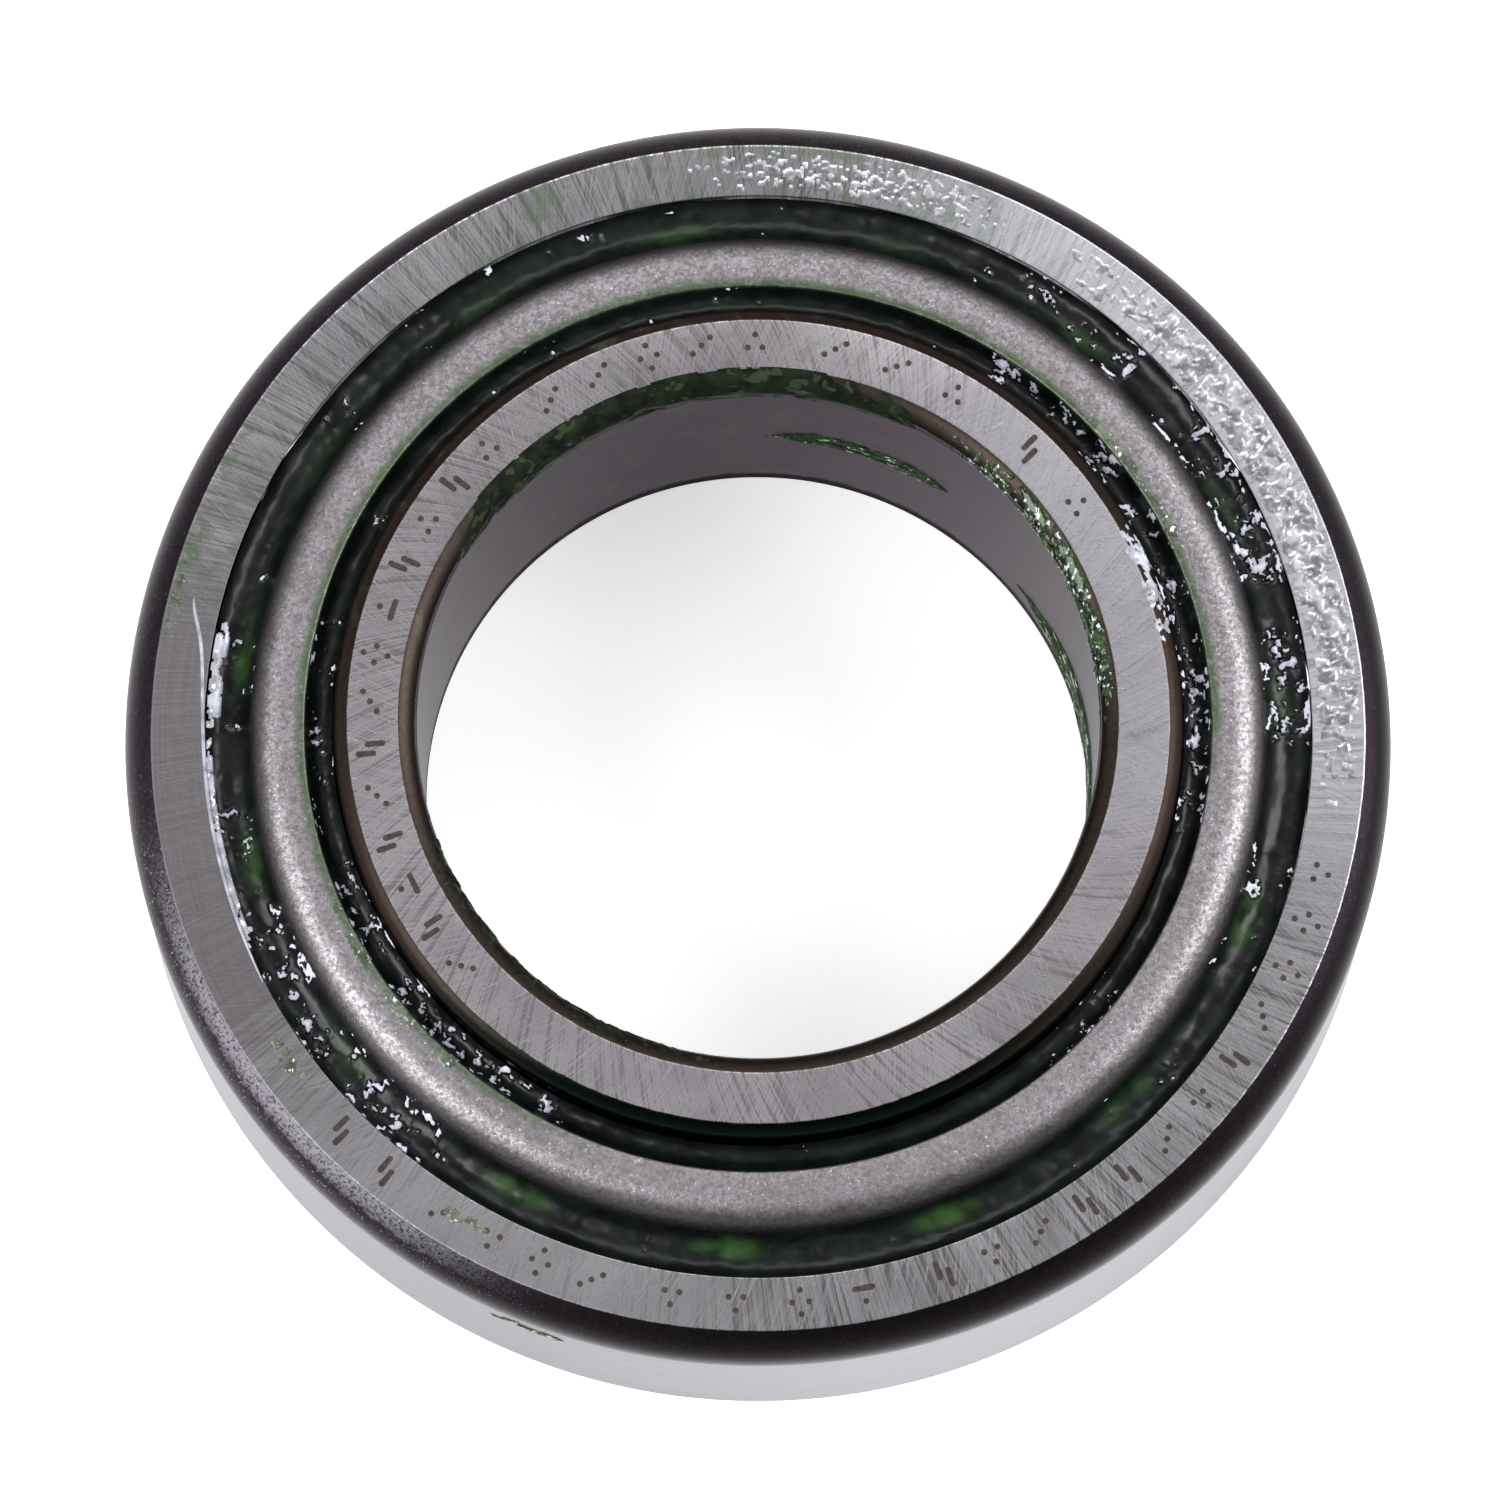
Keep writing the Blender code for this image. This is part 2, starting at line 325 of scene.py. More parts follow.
# %% A zone round the ring, and a patch of the turn
def make_zone():
    """A band of values from From to To, with soft and slightly uneven borders."""
    tree, ins, outs = new_group(
        "zone", [("Value", 0.0), ("From", 0.0), ("To", 1.0), ("Softness", 0.05), ("Uneven", 0.0)],
        [("Mask", "NodeSocketFloat")],
    )
    ring = use_group(tree, RING_PLACE)
    wobble = maths(tree, "SUBTRACT", grey_noise(tree, ring["Place"], 1.3, detail=5.0, roughness=0.7), 0.5)
    value = maths(tree, "MULTIPLY_ADD", wobble, ins["Uneven"], ins["Value"])
    above = rescale(
        tree, value, maths(tree, "SUBTRACT", ins["From"], ins["Softness"]),
        maths(tree, "ADD", ins["From"], ins["Softness"]),
    )
    past = rescale(
        tree, value, maths(tree, "SUBTRACT", ins["To"], ins["Softness"]),
        maths(tree, "ADD", ins["To"], ins["Softness"]),
    )
    tree.links.new(times(tree, above, maths(tree, "SUBTRACT", 1.0, past)), outs["Mask"])
    return tree


def make_patch():
    """1 near the direction Centre, in degrees anticlockwise from +X, fading out beyond Half."""
    tree, ins, outs = new_group(
        "patch of the turn", [("Centre", 0.0), ("Half", 20.0), ("Softness", 8.0)],
        [("Mask", "NodeSocketFloat")],
    )
    ring = use_group(tree, RING_PLACE)
    centre = maths(tree, "RADIANS", ins["Centre"])
    heading = add_node(
        tree, "ShaderNodeCombineXYZ",
        {"X": maths(tree, "COSINE", centre), "Y": maths(tree, "SINE", centre)},
    ).outputs[0]
    along = add_node(
        tree, "ShaderNodeVectorMath", {0: ring["Way"], 1: heading}, operation="DOT_PRODUCT"
    ).outputs["Value"]
    away = maths(tree, "DEGREES", maths(tree, "ARCCOSINE", along))
    inner = maths(tree, "SUBTRACT", ins["Half"], ins["Softness"])
    mask = maths(tree, "SUBTRACT", 1.0, rescale(tree, away, inner, ins["Half"]))
    tree.links.new(mask, outs["Mask"])
    return tree


ZONE = make_zone()
PATCH = make_patch()


def zone(tree, value, low, high, softness, uneven=0.0):
    inputs = {"Value": value, "From": low, "To": high, "Softness": softness, "Uneven": uneven}
    return use_group(tree, ZONE, **inputs)["Mask"]


def patch(tree, centre, half, softness):
    return use_group(tree, PATCH, Centre=centre, Half=half, Softness=softness)["Mask"]


print("groups:", ZONE.name, "and", PATCH.name)


# %% Ragged smears
def make_smear():
    """Torn islands of film. Cover is how much is covered, Size their size in mm."""
    tree, ins, outs = new_group(
        "smear", [("Size", 0.8), ("Cover", 0.4), ("Edge", 0.04)], [("Mask", "NodeSocketFloat")]
    )
    ring = use_group(tree, RING_PLACE)
    scale = maths(tree, "DIVIDE", 1.0, ins["Size"])
    shape = grey_noise(tree, ring["Place"], scale, detail=6.0, roughness=0.62, distortion=0.6)
    level = maths(tree, "SUBTRACT", 0.75, times(tree, ins["Cover"], 0.5))
    above = maths(tree, "ADD", level, ins["Edge"])
    tree.links.new(rescale(tree, shape, level, above), outs["Mask"])
    return tree


SMEAR = make_smear()


def torn_mask(tree, size, cover, edge):
    return use_group(tree, SMEAR, Size=size, Cover=cover, Edge=edge)["Mask"]


print("group:", SMEAR.name)


# %% [markdown]
# ## Ground steel for the two rings
# The flat faces are ground with a cup wheel, which leaves short strokes running nearly from the
# bore to the outside, crossed by finer ones at another slant. The corners are not ground at all:
# they keep the black or brown scale of the furnace. One material per ring holds all its zones,
# told apart by radius and height, because the scale fades into bright steel with no clean line.


# %% Steel finishes
def new_finish(name, metallic=1.0):
    material = bpy.data.materials.new(name)
    material.use_nodes = True
    tree = material.node_tree
    shader = tree.nodes["Principled BSDF"]
    shader.inputs["Metallic"].default_value = metallic
    return material, tree, shader


def layer(tree, below, mask, colour, roughness=None):
    """Lays a colour, and a roughness, over the ones below where mask is 1."""
    shade, rough = below
    mixed = blend_colours(tree, mask, shade, colour)
    if roughness is None:
        return mixed, rough
    node = add_node(tree, "ShaderNodeMix", {0: mask, 2: rough, 3: roughness}, data_type="FLOAT")
    return mixed, node.outputs[0]


def finish_surface(tree, shader, look, height, strength, depth):
    shade, rough = look
    bump = add_node(
        tree, "ShaderNodeBump", {"Height": height, "Strength": strength, "Distance": depth}
    ).outputs[0]
    tree.links.new(shade, shader.inputs["Base Color"])
    tree.links.new(rough, shader.inputs["Roughness"])
    tree.links.new(bump, shader.inputs["Normal"])


def stroke_look(tree, dark, mid, light, fine, cross, broad):
    """Ground steel from two fine lays of strokes and one broad lay that lights whole bundles."""
    ring = use_group(tree, RING_PLACE)
    cloud = grey_noise(tree, ring["Place"], 0.22, detail=4.0, roughness=0.65)
    bundle = maths(tree, "MULTIPLY_ADD", broad, 0.48, times(tree, fine, 0.52))
    both = maths(tree, "MULTIPLY_ADD", cross, 0.26, times(tree, bundle, 0.74))
    shade = blend_colours(tree, rescale(tree, both, 0.28, 0.50), dark, mid)
    shade = blend_colours(tree, rescale(tree, both, 0.50, 0.74), shade, light)
    scratch = times(tree, rescale(tree, cross, 0.86, 0.97), rescale(tree, cloud, 0.4, 0.6))
    shade = blend_colours(tree, scratch, shade, rgb(252, 250, 252))
    worn = rescale(tree, cloud, 0.3, 0.7, 0.0, 0.35)
    shade = blend_colours(tree, worn, shade, dark)
    rough = rescale(tree, both, 0.2, 0.9, 0.40, 0.24)
    return shade, rough, both


def add_painted_light(tree, look, light_patches):
    """Painted highlight and painted shade on parts of the turn, where a face catches more or less light:
    centre, half, softness, strength and colour of each.
    """
    for centre, half, softness, strength, colour in light_patches:
        share = times(tree, patch(tree, centre, half, softness), strength)
        look = layer(tree, look, share, rgb(*colour))
    return look


print("steel tools ready")

# %% Cup finish: the face, the wall and the raceway
# Painted highlight and painted shade on the cup's face: lighter at the upper right and lower left, darker at
# the top.
CUP_LIGHT_AND_SHADE = (
    (30.0, 56.0, 26.0, 0.74, (238, 238, 246)),
    (112.0, 56.0, 34.0, 0.34, (104, 101, 106)),
    (244.0, 34.0, 24.0, 0.30, (222, 219, 222)),
)
# Radii in millimetres. The wall is everything outside the first, the raceway all inside the second; the
# raceway reaches out over the rounded edge of its mouth, which is painted dark with it, a painted shade that
# dims the edge's highlight.
WALL_FROM = 32.3
SHADED_RACE_TO = 28.46
FACE_FROM_TO = (28.42, 31.15)
FAR_OUT = 60.0


def cup_face_look(tree):
    """The ground face, with faint arcs and a greyer stretch at one side."""
    fine = strokes(tree, 215.0, 0.20, lean=-0.004)
    cross = strokes(tree, 300.0, 0.4, lean=0.014, seed=40.0)
    broad = strokes(tree, 70.0, 0.10, lean=-0.003, seed=9.0)
    shade, rough, height = stroke_look(
        tree, rgb(114, 111, 113), rgb(196, 192, 195), rgb(255, 253, 255), fine, cross, broad
    )
    arcs = strokes(tree, 5.0, 8.0, seed=60.0)
    arc_shade = blend_colours(tree, arcs, rgb(143, 138, 140), rgb(156, 151, 154))
    arc_part = times(tree, patch(tree, 188.0, 42.0, 26.0), 0.9)
    look = layer(tree, (shade, rough), arc_part, arc_shade, 0.34)
    return add_painted_light(tree, look, CUP_LIGHT_AND_SHADE), height


def cup_side_look(tree, ring, look):
    """The ground outside wall, with lines round it, and the raceway."""
    lines = strokes(tree, 3.0, 0.0, upward=6.0, seed=3.0)
    shade = blend_colours(tree, lines, rgb(90, 87, 95), rgb(111, 108, 117))
    look = layer(tree, look, zone(tree, ring["Radius"], WALL_FROM, FAR_OUT, 0.05), shade, 0.34)
    # Painted shade: the raceway and the rounded edge of its mouth are painted dark, which dims the edge's
    # highlight.
    return layer(tree, look, zone(tree, ring["Radius"], 0.0, SHADED_RACE_TO, 0.03), rgb(92, 90, 94), 0.32)


# %% Cup finish: the corner, and all together
CORNER_SLOPE = 0.55
CORNER_FROM = 41.06
RUBBED_ABOVE = 17.5
GREEN_TINTS = ((95.0, 42.0, 0.5), (157.0, 15.0, 0.6))


def cup_corner_look(tree, ring, look):
    """Black furnace scale: pitted, darker towards the front and right, and rubbed bright at one side."""
    slope = maths(tree, "MULTIPLY_ADD", ring["Height"], CORNER_SLOPE, ring["Radius"])
    corner = zone(tree, slope, CORNER_FROM, FAR_OUT, 0.03, 0.05)
    grain = grey_noise(tree, ring["Place"], 3.0, detail=5.0, roughness=0.7)
    shade = blend_colours(tree, grain, rgb(26, 22, 26), rgb(54, 48, 53))
    pits = rescale(tree, grey_noise(tree, ring["Place"], 7.0, detail=3.0, roughness=0.7), 0.60, 0.68)
    worn = rescale(tree, patch(tree, 218.0, 42.0, 30.0), 0.0, 1.0, 0.18, 0.9)
    shade = blend_colours(tree, times(tree, pits, worn), shade, rgb(150, 146, 156))
    # The scale is made darker towards the front and right.
    darker_front = times(tree, patch(tree, 316.0, 104.0, 50.0), 0.6)
    shade = blend_colours(tree, darker_front, shade, rgb(14, 12, 14))
    look = layer(tree, look, corner, shade, 0.40)
    upper_edge = zone(tree, ring["Height"], RUBBED_ABOVE, FAR_OUT, 0.10, 0.7)
    speckle = rescale(tree, grey_noise(tree, ring["Place"], 5.5, detail=4.0, roughness=0.8), 0.42, 0.52)
    rubbed = times(tree, upper_edge, corner, patch(tree, 219.0, 32.0, 18.0), speckle)
    return layer(tree, look, rubbed, rgb(92, 90, 96), 0.45)


def cup_finish():
    material, tree, shader = new_finish("cup_ground_steel")
    ring = use_group(tree, RING_PLACE)
    look, height = cup_face_look(tree)
    look = cup_side_look(tree, ring, look)
    look = cup_corner_look(tree, ring, look)
    on_face = zone(tree, ring["Radius"], *FACE_FROM_TO, 0.02)
    for centre, half, strength in GREEN_TINTS:
        part = patch(tree, centre, half, half * 0.6)
        share = times(tree, part, torn_mask(tree, 1.6, 0.56, 0.16), strength, on_face)
        look = layer(tree, look, share, rgb(108, 134, 98))
    finish_surface(tree, shader, look, height, 0.25, 0.00003)
    return material


CUP_FINISH = cup_finish()
print("finish:", CUP_FINISH.name, "nodes:", len(CUP_FINISH.node_tree.nodes))


# %% [markdown]
# ## Turning a ring
# A ring is a section spun about the bearing's axis. The section is drawn as a turner would chalk
# it: one point is extruded from corner to corner, the outline is closed, and its corners are
# rounded while it is still flat. Only then is it spun. A ring could be cut from a cylinder with
# Booleans, but a spun section keeps clean rows of faces and every edge stays true.


# %% Turning tools
RING_STEPS = 288
EDGE_ROUND = 0.09
WELD = 0.000001


def arc_corner(start, end, steps=8, fullness=0.12):
    """Points of a slightly full corner between two (radius, height) points, both included."""
    (r1, z1), (r2, z2) = start, end
    points = []
    for step in range(steps + 1):
        share = step / steps
        bulge = fullness * 4 * share * (1 - share)
        radius = r1 + (r2 - r1) * share + (z2 - z1) * bulge
        height = z1 + (z2 - z1) * share - (r2 - r1) * bulge
        points.append((radius, height))
    return points


def draw_section(name, points, closed=True):
    """Draws (radius, height) points in millimetres in the XZ plane and leaves edit mode on."""
    bpy.ops.object.select_all(action="DESELECT")
    bpy.ops.mesh.primitive_plane_add(size=MM, enter_editmode=True)
    bpy.ops.mesh.select_mode(type="VERT")
    bpy.ops.mesh.merge(type="CENTER")
    radius, height = points[0]
    bpy.ops.transform.translate(value=(radius * MM, 0.0, height * MM))
    for (r1, z1), (r2, z2) in zip(points, points[1:]):
        step = ((r2 - r1) * MM, 0.0, (z2 - z1) * MM)
        bpy.ops.mesh.extrude_vertices_move(TRANSFORM_OT_translate={"value": step})
    bpy.ops.mesh.select_all(action="SELECT")
    if closed:
        bpy.ops.mesh.edge_face_add()
        bpy.ops.mesh.delete(type="ONLY_FACE")
        bpy.ops.mesh.select_all(action="SELECT")
    bpy.context.object.name = name
    return bpy.context.object


def apply_modifier(piece, kind, **settings):
    bpy.ops.object.modifier_add(type=kind)
    modifier = piece.modifiers[-1]
    for label, value in settings.items():
        setattr(modifier, label, value)
    bpy.ops.object.modifier_apply(modifier=modifier.name)


def clean_mesh():
    """Joins the seams and points every face outwards, in edit mode."""
    bpy.ops.mesh.select_all(action="SELECT")
    bpy.ops.mesh.remove_doubles(threshold=WELD)
    bpy.ops.mesh.normals_make_consistent(inside=False)


def smooth_piece(piece, angle=32):
    bpy.ops.object.shade_smooth_by_angle(angle=math.radians(angle))
    apply_modifier(piece, "WEIGHTED_NORMAL", keep_sharp=True, weight=80)


def dress(piece, body, finish, slot, *nodes):
    """Gives the piece its finish, ties it to a body, and hides the plain parts it stands for."""
    piece.data.materials.clear()
    piece.data.materials.append(finish)
    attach(piece, body)
    if nodes:
        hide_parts(*nodes)
    faces = len(piece.data.polygons)
    print(f"{piece.name}: {faces} faces, rides on {body}")
    return piece


def turn_ring(name, points, edge_round=EDGE_ROUND):
    """Spins a section into a ring with its sharp corners rounded."""
    ring = draw_section(name, points)
    bpy.ops.mesh.spin(steps=RING_STEPS, angle=math.tau, center=(0, 0, 0), axis=(0, 0, 1))
    clean_mesh()
    bpy.ops.object.mode_set(mode="OBJECT")
    apply_modifier(
        ring, "BEVEL", width=edge_round * MM, segments=2, limit_method="ANGLE",
        angle_limit=math.radians(24), use_clamp_overlap=True,
    )
    smooth_piece(ring)
    return ring


print("ring steps:", RING_STEPS)

# %% [markdown]
# ## The cup
# The cup is the bearing's outer ring. Its inside is a cone, the raceway; its back face is ground
# flat, and a large corner leads into the ground outside wall, so that the cup can be pressed
# into a housing. The section below starts at the raceway's mouth in the small front face.

# %% Cup
RACE_FOOT = 31.045
RACE_MOUTH = 28.404
CUP_SECTION = [
    (RACE_FOOT, CUP_FOOT),
    *arc_corner((CUP_RADIUS - 0.7, CUP_FOOT), (CUP_RADIUS, CUP_FOOT + 0.9), steps=6),
    *arc_corner((CUP_RADIUS, CUP_FACE_Z - 2.6), (CUP_RADIUS - 1.4, CUP_FACE_Z), steps=10, fullness=0.19),
    (RACE_MOUTH, CUP_FACE_Z),
]
cup = turn_ring("cup_ring", CUP_SECTION)
dress(cup, "cup", CUP_FINISH, "cup_steel", "cup")

# %% [markdown]
# ## The cone
# The cone is the inner ring, which fits the shaft. It has the inner raceway with a rib at each
# end, and beside each rib a narrow relief where the grinding wheel runs out. Its corners are
# brown with scale, and its bore is ground smooth.


# %% Cone finish
# Painted highlight and painted shade on the cone's face: lighter at the right, darker at the upper left.
CONE_LIGHT_AND_SHADE = (
    (22.0, 56.0, 34.0, 0.36, (228, 227, 236)),
    (124.0, 60.0, 36.0, 0.36, (108, 104, 108)),
)
# Radii and heights in millimetres: the bore, its foot with painted shade, its brown rim and the outer
# corner.
BORE_TO = 17.55
SHADED_FOOT_TO = 2.5
RIM_TO = 18.41
OUTER_FROM = 21.0
MIDDLE_HEIGHT = 8.0
BACK_IS_WIDER_BY = 3.42


def cone_face_look(tree):
    fine = strokes(tree, 150.0, 0.25, lean=-0.024)
    cross = strokes(tree, 180.0, 0.4, lean=0.020, seed=21.0)
    broad = strokes(tree, 44.0, 0.16, lean=-0.024, seed=5.0)
    shade, rough, height = stroke_look(
        tree, rgb(142, 137, 140), rgb(212, 206, 210), rgb(255, 252, 254), fine, cross, broad
    )
    return add_painted_light(tree, (shade, rough), CONE_LIGHT_AND_SHADE), height


def cone_bore_look(tree, ring, look):
    """The ground bore, with painted shade along its foot where it meets the back corner."""
    lines = strokes(tree, 4.0, 0.0, upward=7.0, seed=13.0)
    bore = zone(tree, ring["Radius"], 0.0, BORE_TO, 0.04)
    look = layer(tree, look, bore, blend_colours(tree, lines, rgb(66, 61, 65), rgb(90, 84, 89)), 0.28)
    # Painted shade: the bore's foot is painted near black where it meets the floor.
    foot_shade = zone(tree, ring["Height"], -9.0, SHADED_FOOT_TO, 0.35, 1.2)
    return layer(tree, look, times(tree, foot_shade, bore), rgb(26, 22, 22), 0.5)


def cone_corner_look(tree, ring, look):
    """Brown scale on the corners, oiled where the grease has run."""
    grain = grey_noise(tree, ring["Place"], 4.0, detail=5.0, roughness=0.7)
    rim = zone(tree, ring["Radius"], BORE_TO, RIM_TO, 0.03, 0.06)
    look = layer(tree, look, rim, blend_colours(tree, grain, rgb(32, 27, 24), rgb(70, 61, 55)), 0.42)
    chamfer = zone(tree, maths(tree, "SUBTRACT", ring["Radius"], ring["Height"]), -2.55, -2.50, 0.03)
    line = zone(tree, ring["Radius"], 17.50, 17.74, 0.05)
    look = layer(tree, look, times(tree, line, chamfer), rgb(24, 19, 16))
    low_half = maths(tree, "LESS_THAN", ring["Height"], MIDDLE_HEIGHT)
    outward = maths(tree, "MULTIPLY_ADD", low_half, -BACK_IS_WIDER_BY, ring["Radius"])
    outer = zone(tree, outward, OUTER_FROM, 30.0, 0.03, 0.06)
    look = layer(tree, look, outer, blend_colours(tree, grain, rgb(26, 22, 20), rgb(56, 47, 41)), 0.42)
    oil = times(tree, zone(tree, outward, 21.05, 30.0, 0.06, 0.3), patch(tree, 268.0, 62.0, 40.0))
    return layer(tree, look, oil, rgb(12, 20, 17), 0.22)


def cone_finish():
    material, tree, shader = new_finish("cone_ground_steel")
    shader.inputs["Specular Tint"].default_value = (0.5, 0.48, 0.5, 1.0)
    ring = use_group(tree, RING_PLACE)
    look, height = cone_face_look(tree)
    look = cone_bore_look(tree, ring, look)
    look = cone_corner_look(tree, ring, look)
    green = times(tree, patch(tree, 120.0, 60.0, 35.0), torn_mask(tree, 1.8, 0.45, 0.14), 0.35)
    look = layer(tree, look, green, rgb(92, 106, 86))
    finish_surface(tree, shader, look, height, 0.22, 0.00003)
    return material


CONE_FINISH = cone_finish()
print("finish:", CONE_FINISH.name, "nodes:", len(CONE_FINISH.node_tree.nodes))

# %% Cone
BORE_RADIUS = 17.462
SMALL_RIB_RADIUS = 21.742
CONE_SECTION = [
    *arc_corner((BORE_RADIUS, 1.5), (BORE_RADIUS + 1.3, CONE_FOOT), steps=6),
    *arc_corner((CONE_RADIUS - 0.8, CONE_FOOT), (CONE_RADIUS, 0.9), steps=5),
    (CONE_RADIUS, 3.355),
    (22.392, 2.93),
    (22.321, 3.476),
    (22.622, 3.876),
    (21.20, 14.864),
    (20.809, 15.158),
    (20.738, 15.704),
    (SMALL_RIB_RADIUS, 15.857),
    *arc_corner((SMALL_RIB_RADIUS, CONE_FACE_Z - 0.8), (SMALL_RIB_RADIUS - 0.8, CONE_FACE_Z), steps=6),
    *arc_corner((BORE_RADIUS + 0.93, CONE_FACE_Z), (BORE_RADIUS, CONE_FACE_Z - 1.0), steps=6),
]
cone = turn_ring("cone_ring", CONE_SECTION)
dress(cone, "cone", CONE_FINISH, "cone_steel", "cone")

# %% [markdown]
# ## The cage
# The cage is pressed from 1 mm sheet: a flange is rolled in at the small end, and fifteen pockets
# are punched in its conical wall. Here one pocket and the bar beside it are spun from a line
# drawn down the middle of the sheet, the pocket is cut out, and the 24 degree piece is spun on
# into fourteen copies. Solidify then gives the sheet its thickness, and a small bevel rounds
# the punched edges. The pockets keep square corners. The surface is matte and grainy from
# tumbling after the press.

# %% Cage shape
ROLLER_COUNT = 15
FIRST_ROLLER = math.radians(3.3)
PITCH = math.tau / ROLLER_COUNT
POCKET_HALF = math.radians(8.96)
SHEET = 1.0
POCKET_TOP = (25.835, 16.462)
POCKET_BOTTOM = (27.80, 3.574)
BEND_CENTRE = (24.17, 17.434)
BEND_RADIUS = 1.5
WALL_TILT = math.radians(8.68)
BEND_STEPS = 10
POCKET_ROWS = 8
EDGE_WORN = 0.16
CAGE_RIM_END = (28.10, 1.597)


def cage_line():
    points = [(23.19, 18.934), (23.6, 18.934)]
    for step in range(BEND_STEPS + 1):
        angle = math.pi / 2 + (WALL_TILT - math.pi / 2) * step / BEND_STEPS
        radius = BEND_CENTRE[0] + BEND_RADIUS * math.cos(angle)
        points.append((radius, BEND_CENTRE[1] + BEND_RADIUS * math.sin(angle)))
    (r1, z1), (r2, z2) = POCKET_TOP, POCKET_BOTTOM
    for row in range(POCKET_ROWS + 1):
        share = row / POCKET_ROWS
        points.append((r1 + (r2 - r1) * share, z1 + (z2 - z1) * share))
    points.append(CAGE_RIM_END)
    return points


def select_by(piece, parts, test):
    """Selects the faces or vertices for which test(its middle, in mm) is true, and only those."""
    bpy.ops.mesh.select_all(action="DESELECT")
    bpy.ops.object.mode_set(mode="OBJECT")
    count = 0
    for part in getattr(piece.data, parts):
        middle = part.center if parts == "polygons" else part.co
        part.select = test(middle / MM)
        count += part.select
    bpy.ops.object.mode_set(mode="EDIT")
    return count


def in_pocket(spot):
    turn = math.atan2(spot.y, spot.x) - FIRST_ROLLER
    inside = abs(turn) < POCKET_HALF - 0.001
    return inside and POCKET_BOTTOM[1] + 0.01 < spot.z < POCKET_TOP[1] - 0.01


def press_cage():
    cage = draw_section("pressed_cage", cage_line(), closed=False)
    # A spin with a positive angle goes clockwise, so the sheet starts at the pocket's far side.
    start = FIRST_ROLLER + POCKET_HALF
    bpy.ops.transform.rotate(value=-start, orient_axis="Z", center_override=(0, 0, 0))
    bpy.ops.mesh.spin(steps=10, angle=2 * POCKET_HALF, center=(0, 0, 0), axis=(0, 0, 1))
    bpy.ops.mesh.spin(steps=3, angle=PITCH - 2 * POCKET_HALF, center=(0, 0, 0), axis=(0, 0, 1))
    bpy.ops.mesh.select_mode(type="FACE")
    cut = select_by(cage, "polygons", in_pocket)
    bpy.ops.mesh.delete(type="FACE")
    print("pocket faces cut:", cut)
    bpy.ops.mesh.select_all(action="SELECT")
    others = ROLLER_COUNT - 1
    bpy.ops.mesh.spin(
        steps=others, angle=PITCH * others, center=(0, 0, 0), axis=(0, 0, 1), dupli=True
    )
    clean_mesh()
    bpy.ops.object.mode_set(mode="OBJECT")
    apply_modifier(cage, "SOLIDIFY", thickness=SHEET * MM, offset=0.0, use_even_offset=True)
    apply_modifier(
        cage, "BEVEL", width=EDGE_WORN * MM, segments=3, limit_method="ANGLE",
        angle_limit=math.radians(45), use_clamp_overlap=True,
    )
    smooth_piece(cage, 40)
    return cage


cage = press_cage()


# %% Cage finish
def cage_finish():
    material, tree, shader = new_finish("cage_tumbled_steel")
    ring = use_group(tree, RING_PLACE)
    grain = grey_noise(tree, ring["Place"], 4.2, detail=3.0, roughness=0.7)
    patchy = grey_noise(tree, ring["Place"], 0.55, detail=4.0, roughness=0.6)
    shade = blend_colours(tree, rescale(tree, grain, 0.3, 0.7), rgb(120, 115, 118), rgb(172, 167, 171))
    shade = blend_colours(tree, rescale(tree, patchy, 0.35, 0.7, 0.0, 0.35), shade, rgb(122, 116, 115))
    # Painted highlight: tiny near-white glints on the grain.
    painted_glints = rescale(tree, grey_noise(tree, ring["Place"], 6.5, detail=2.0, roughness=0.6), 0.64, 0.70)
    shade = blend_colours(tree, times(tree, painted_glints, 0.5), shade, rgb(250, 248, 252))
    look = (shade, rescale(tree, grain, 0.3, 0.7, 0.60, 0.44))
    lip = zone(tree, ring["Radius"], 20.0, 23.66, 0.26, 0.8)
    round_part = patch(tree, 120.0, 132.0, 16.0)
    clots = grey_noise(tree, ring["Place"], 2.6, detail=5.0, roughness=0.75)
    speckle = rescale(tree, clots, 0.30, 0.58, 0.35, 1.0)
    film = times(tree, lip, round_part, speckle, 0.9)
    look = layer(tree, look, film, rgb(86, 106, 72), 0.42)
    # Painted shade and painted reflection: the outer side of the rolled bend is painted darker, and the wall
    # below it darker and greenish, for the shade there and the dark grease it mirrors.
    outside = zone(tree, ring["Radius"], 25.25, 60.0, 0.4, 0.7)
    look = layer(tree, look, times(tree, outside, 0.8), rgb(58, 56, 54), 0.42)
    low = zone(tree, ring["Height"], -5.0, 17.6, 0.5, 0.6)
    look = layer(tree, look, times(tree, low, 0.8), rgb(34, 42, 36), 0.3)
    finish_surface(tree, shader, look, grain, 0.5, 0.00007)
    return material


CAGE_FINISH = cage_finish()
dress(cage, "cage", CAGE_FINISH, "cage_steel", "cage")

# %% [markdown]
# ## The rollers
# A tapered roller is a slice of a long cone. One is made at the origin from a cone primitive with
# the measured end sizes: each end gets a shallow dimple by inset and extrude, and the rims are
# rounded. It is then copied into the fifteen places. Each copy gets its own mesh and
# stands for one roller of the measured model.

# %% Roller shape
ROLLER_TILT = math.radians(8.68)
ROLLER_LENGTH = 12.477
SMALL_END_RADIUS = 3.75
LARGE_END_RADIUS = 4.034
SMALL_END_PLACE = (24.889, 16.034)
# Each step of the dimple in an end: how far in, and how deep.
DIMPLE_STEPS = ((1.5, 0.0), (0.35, -0.18), (0.5, -0.05))


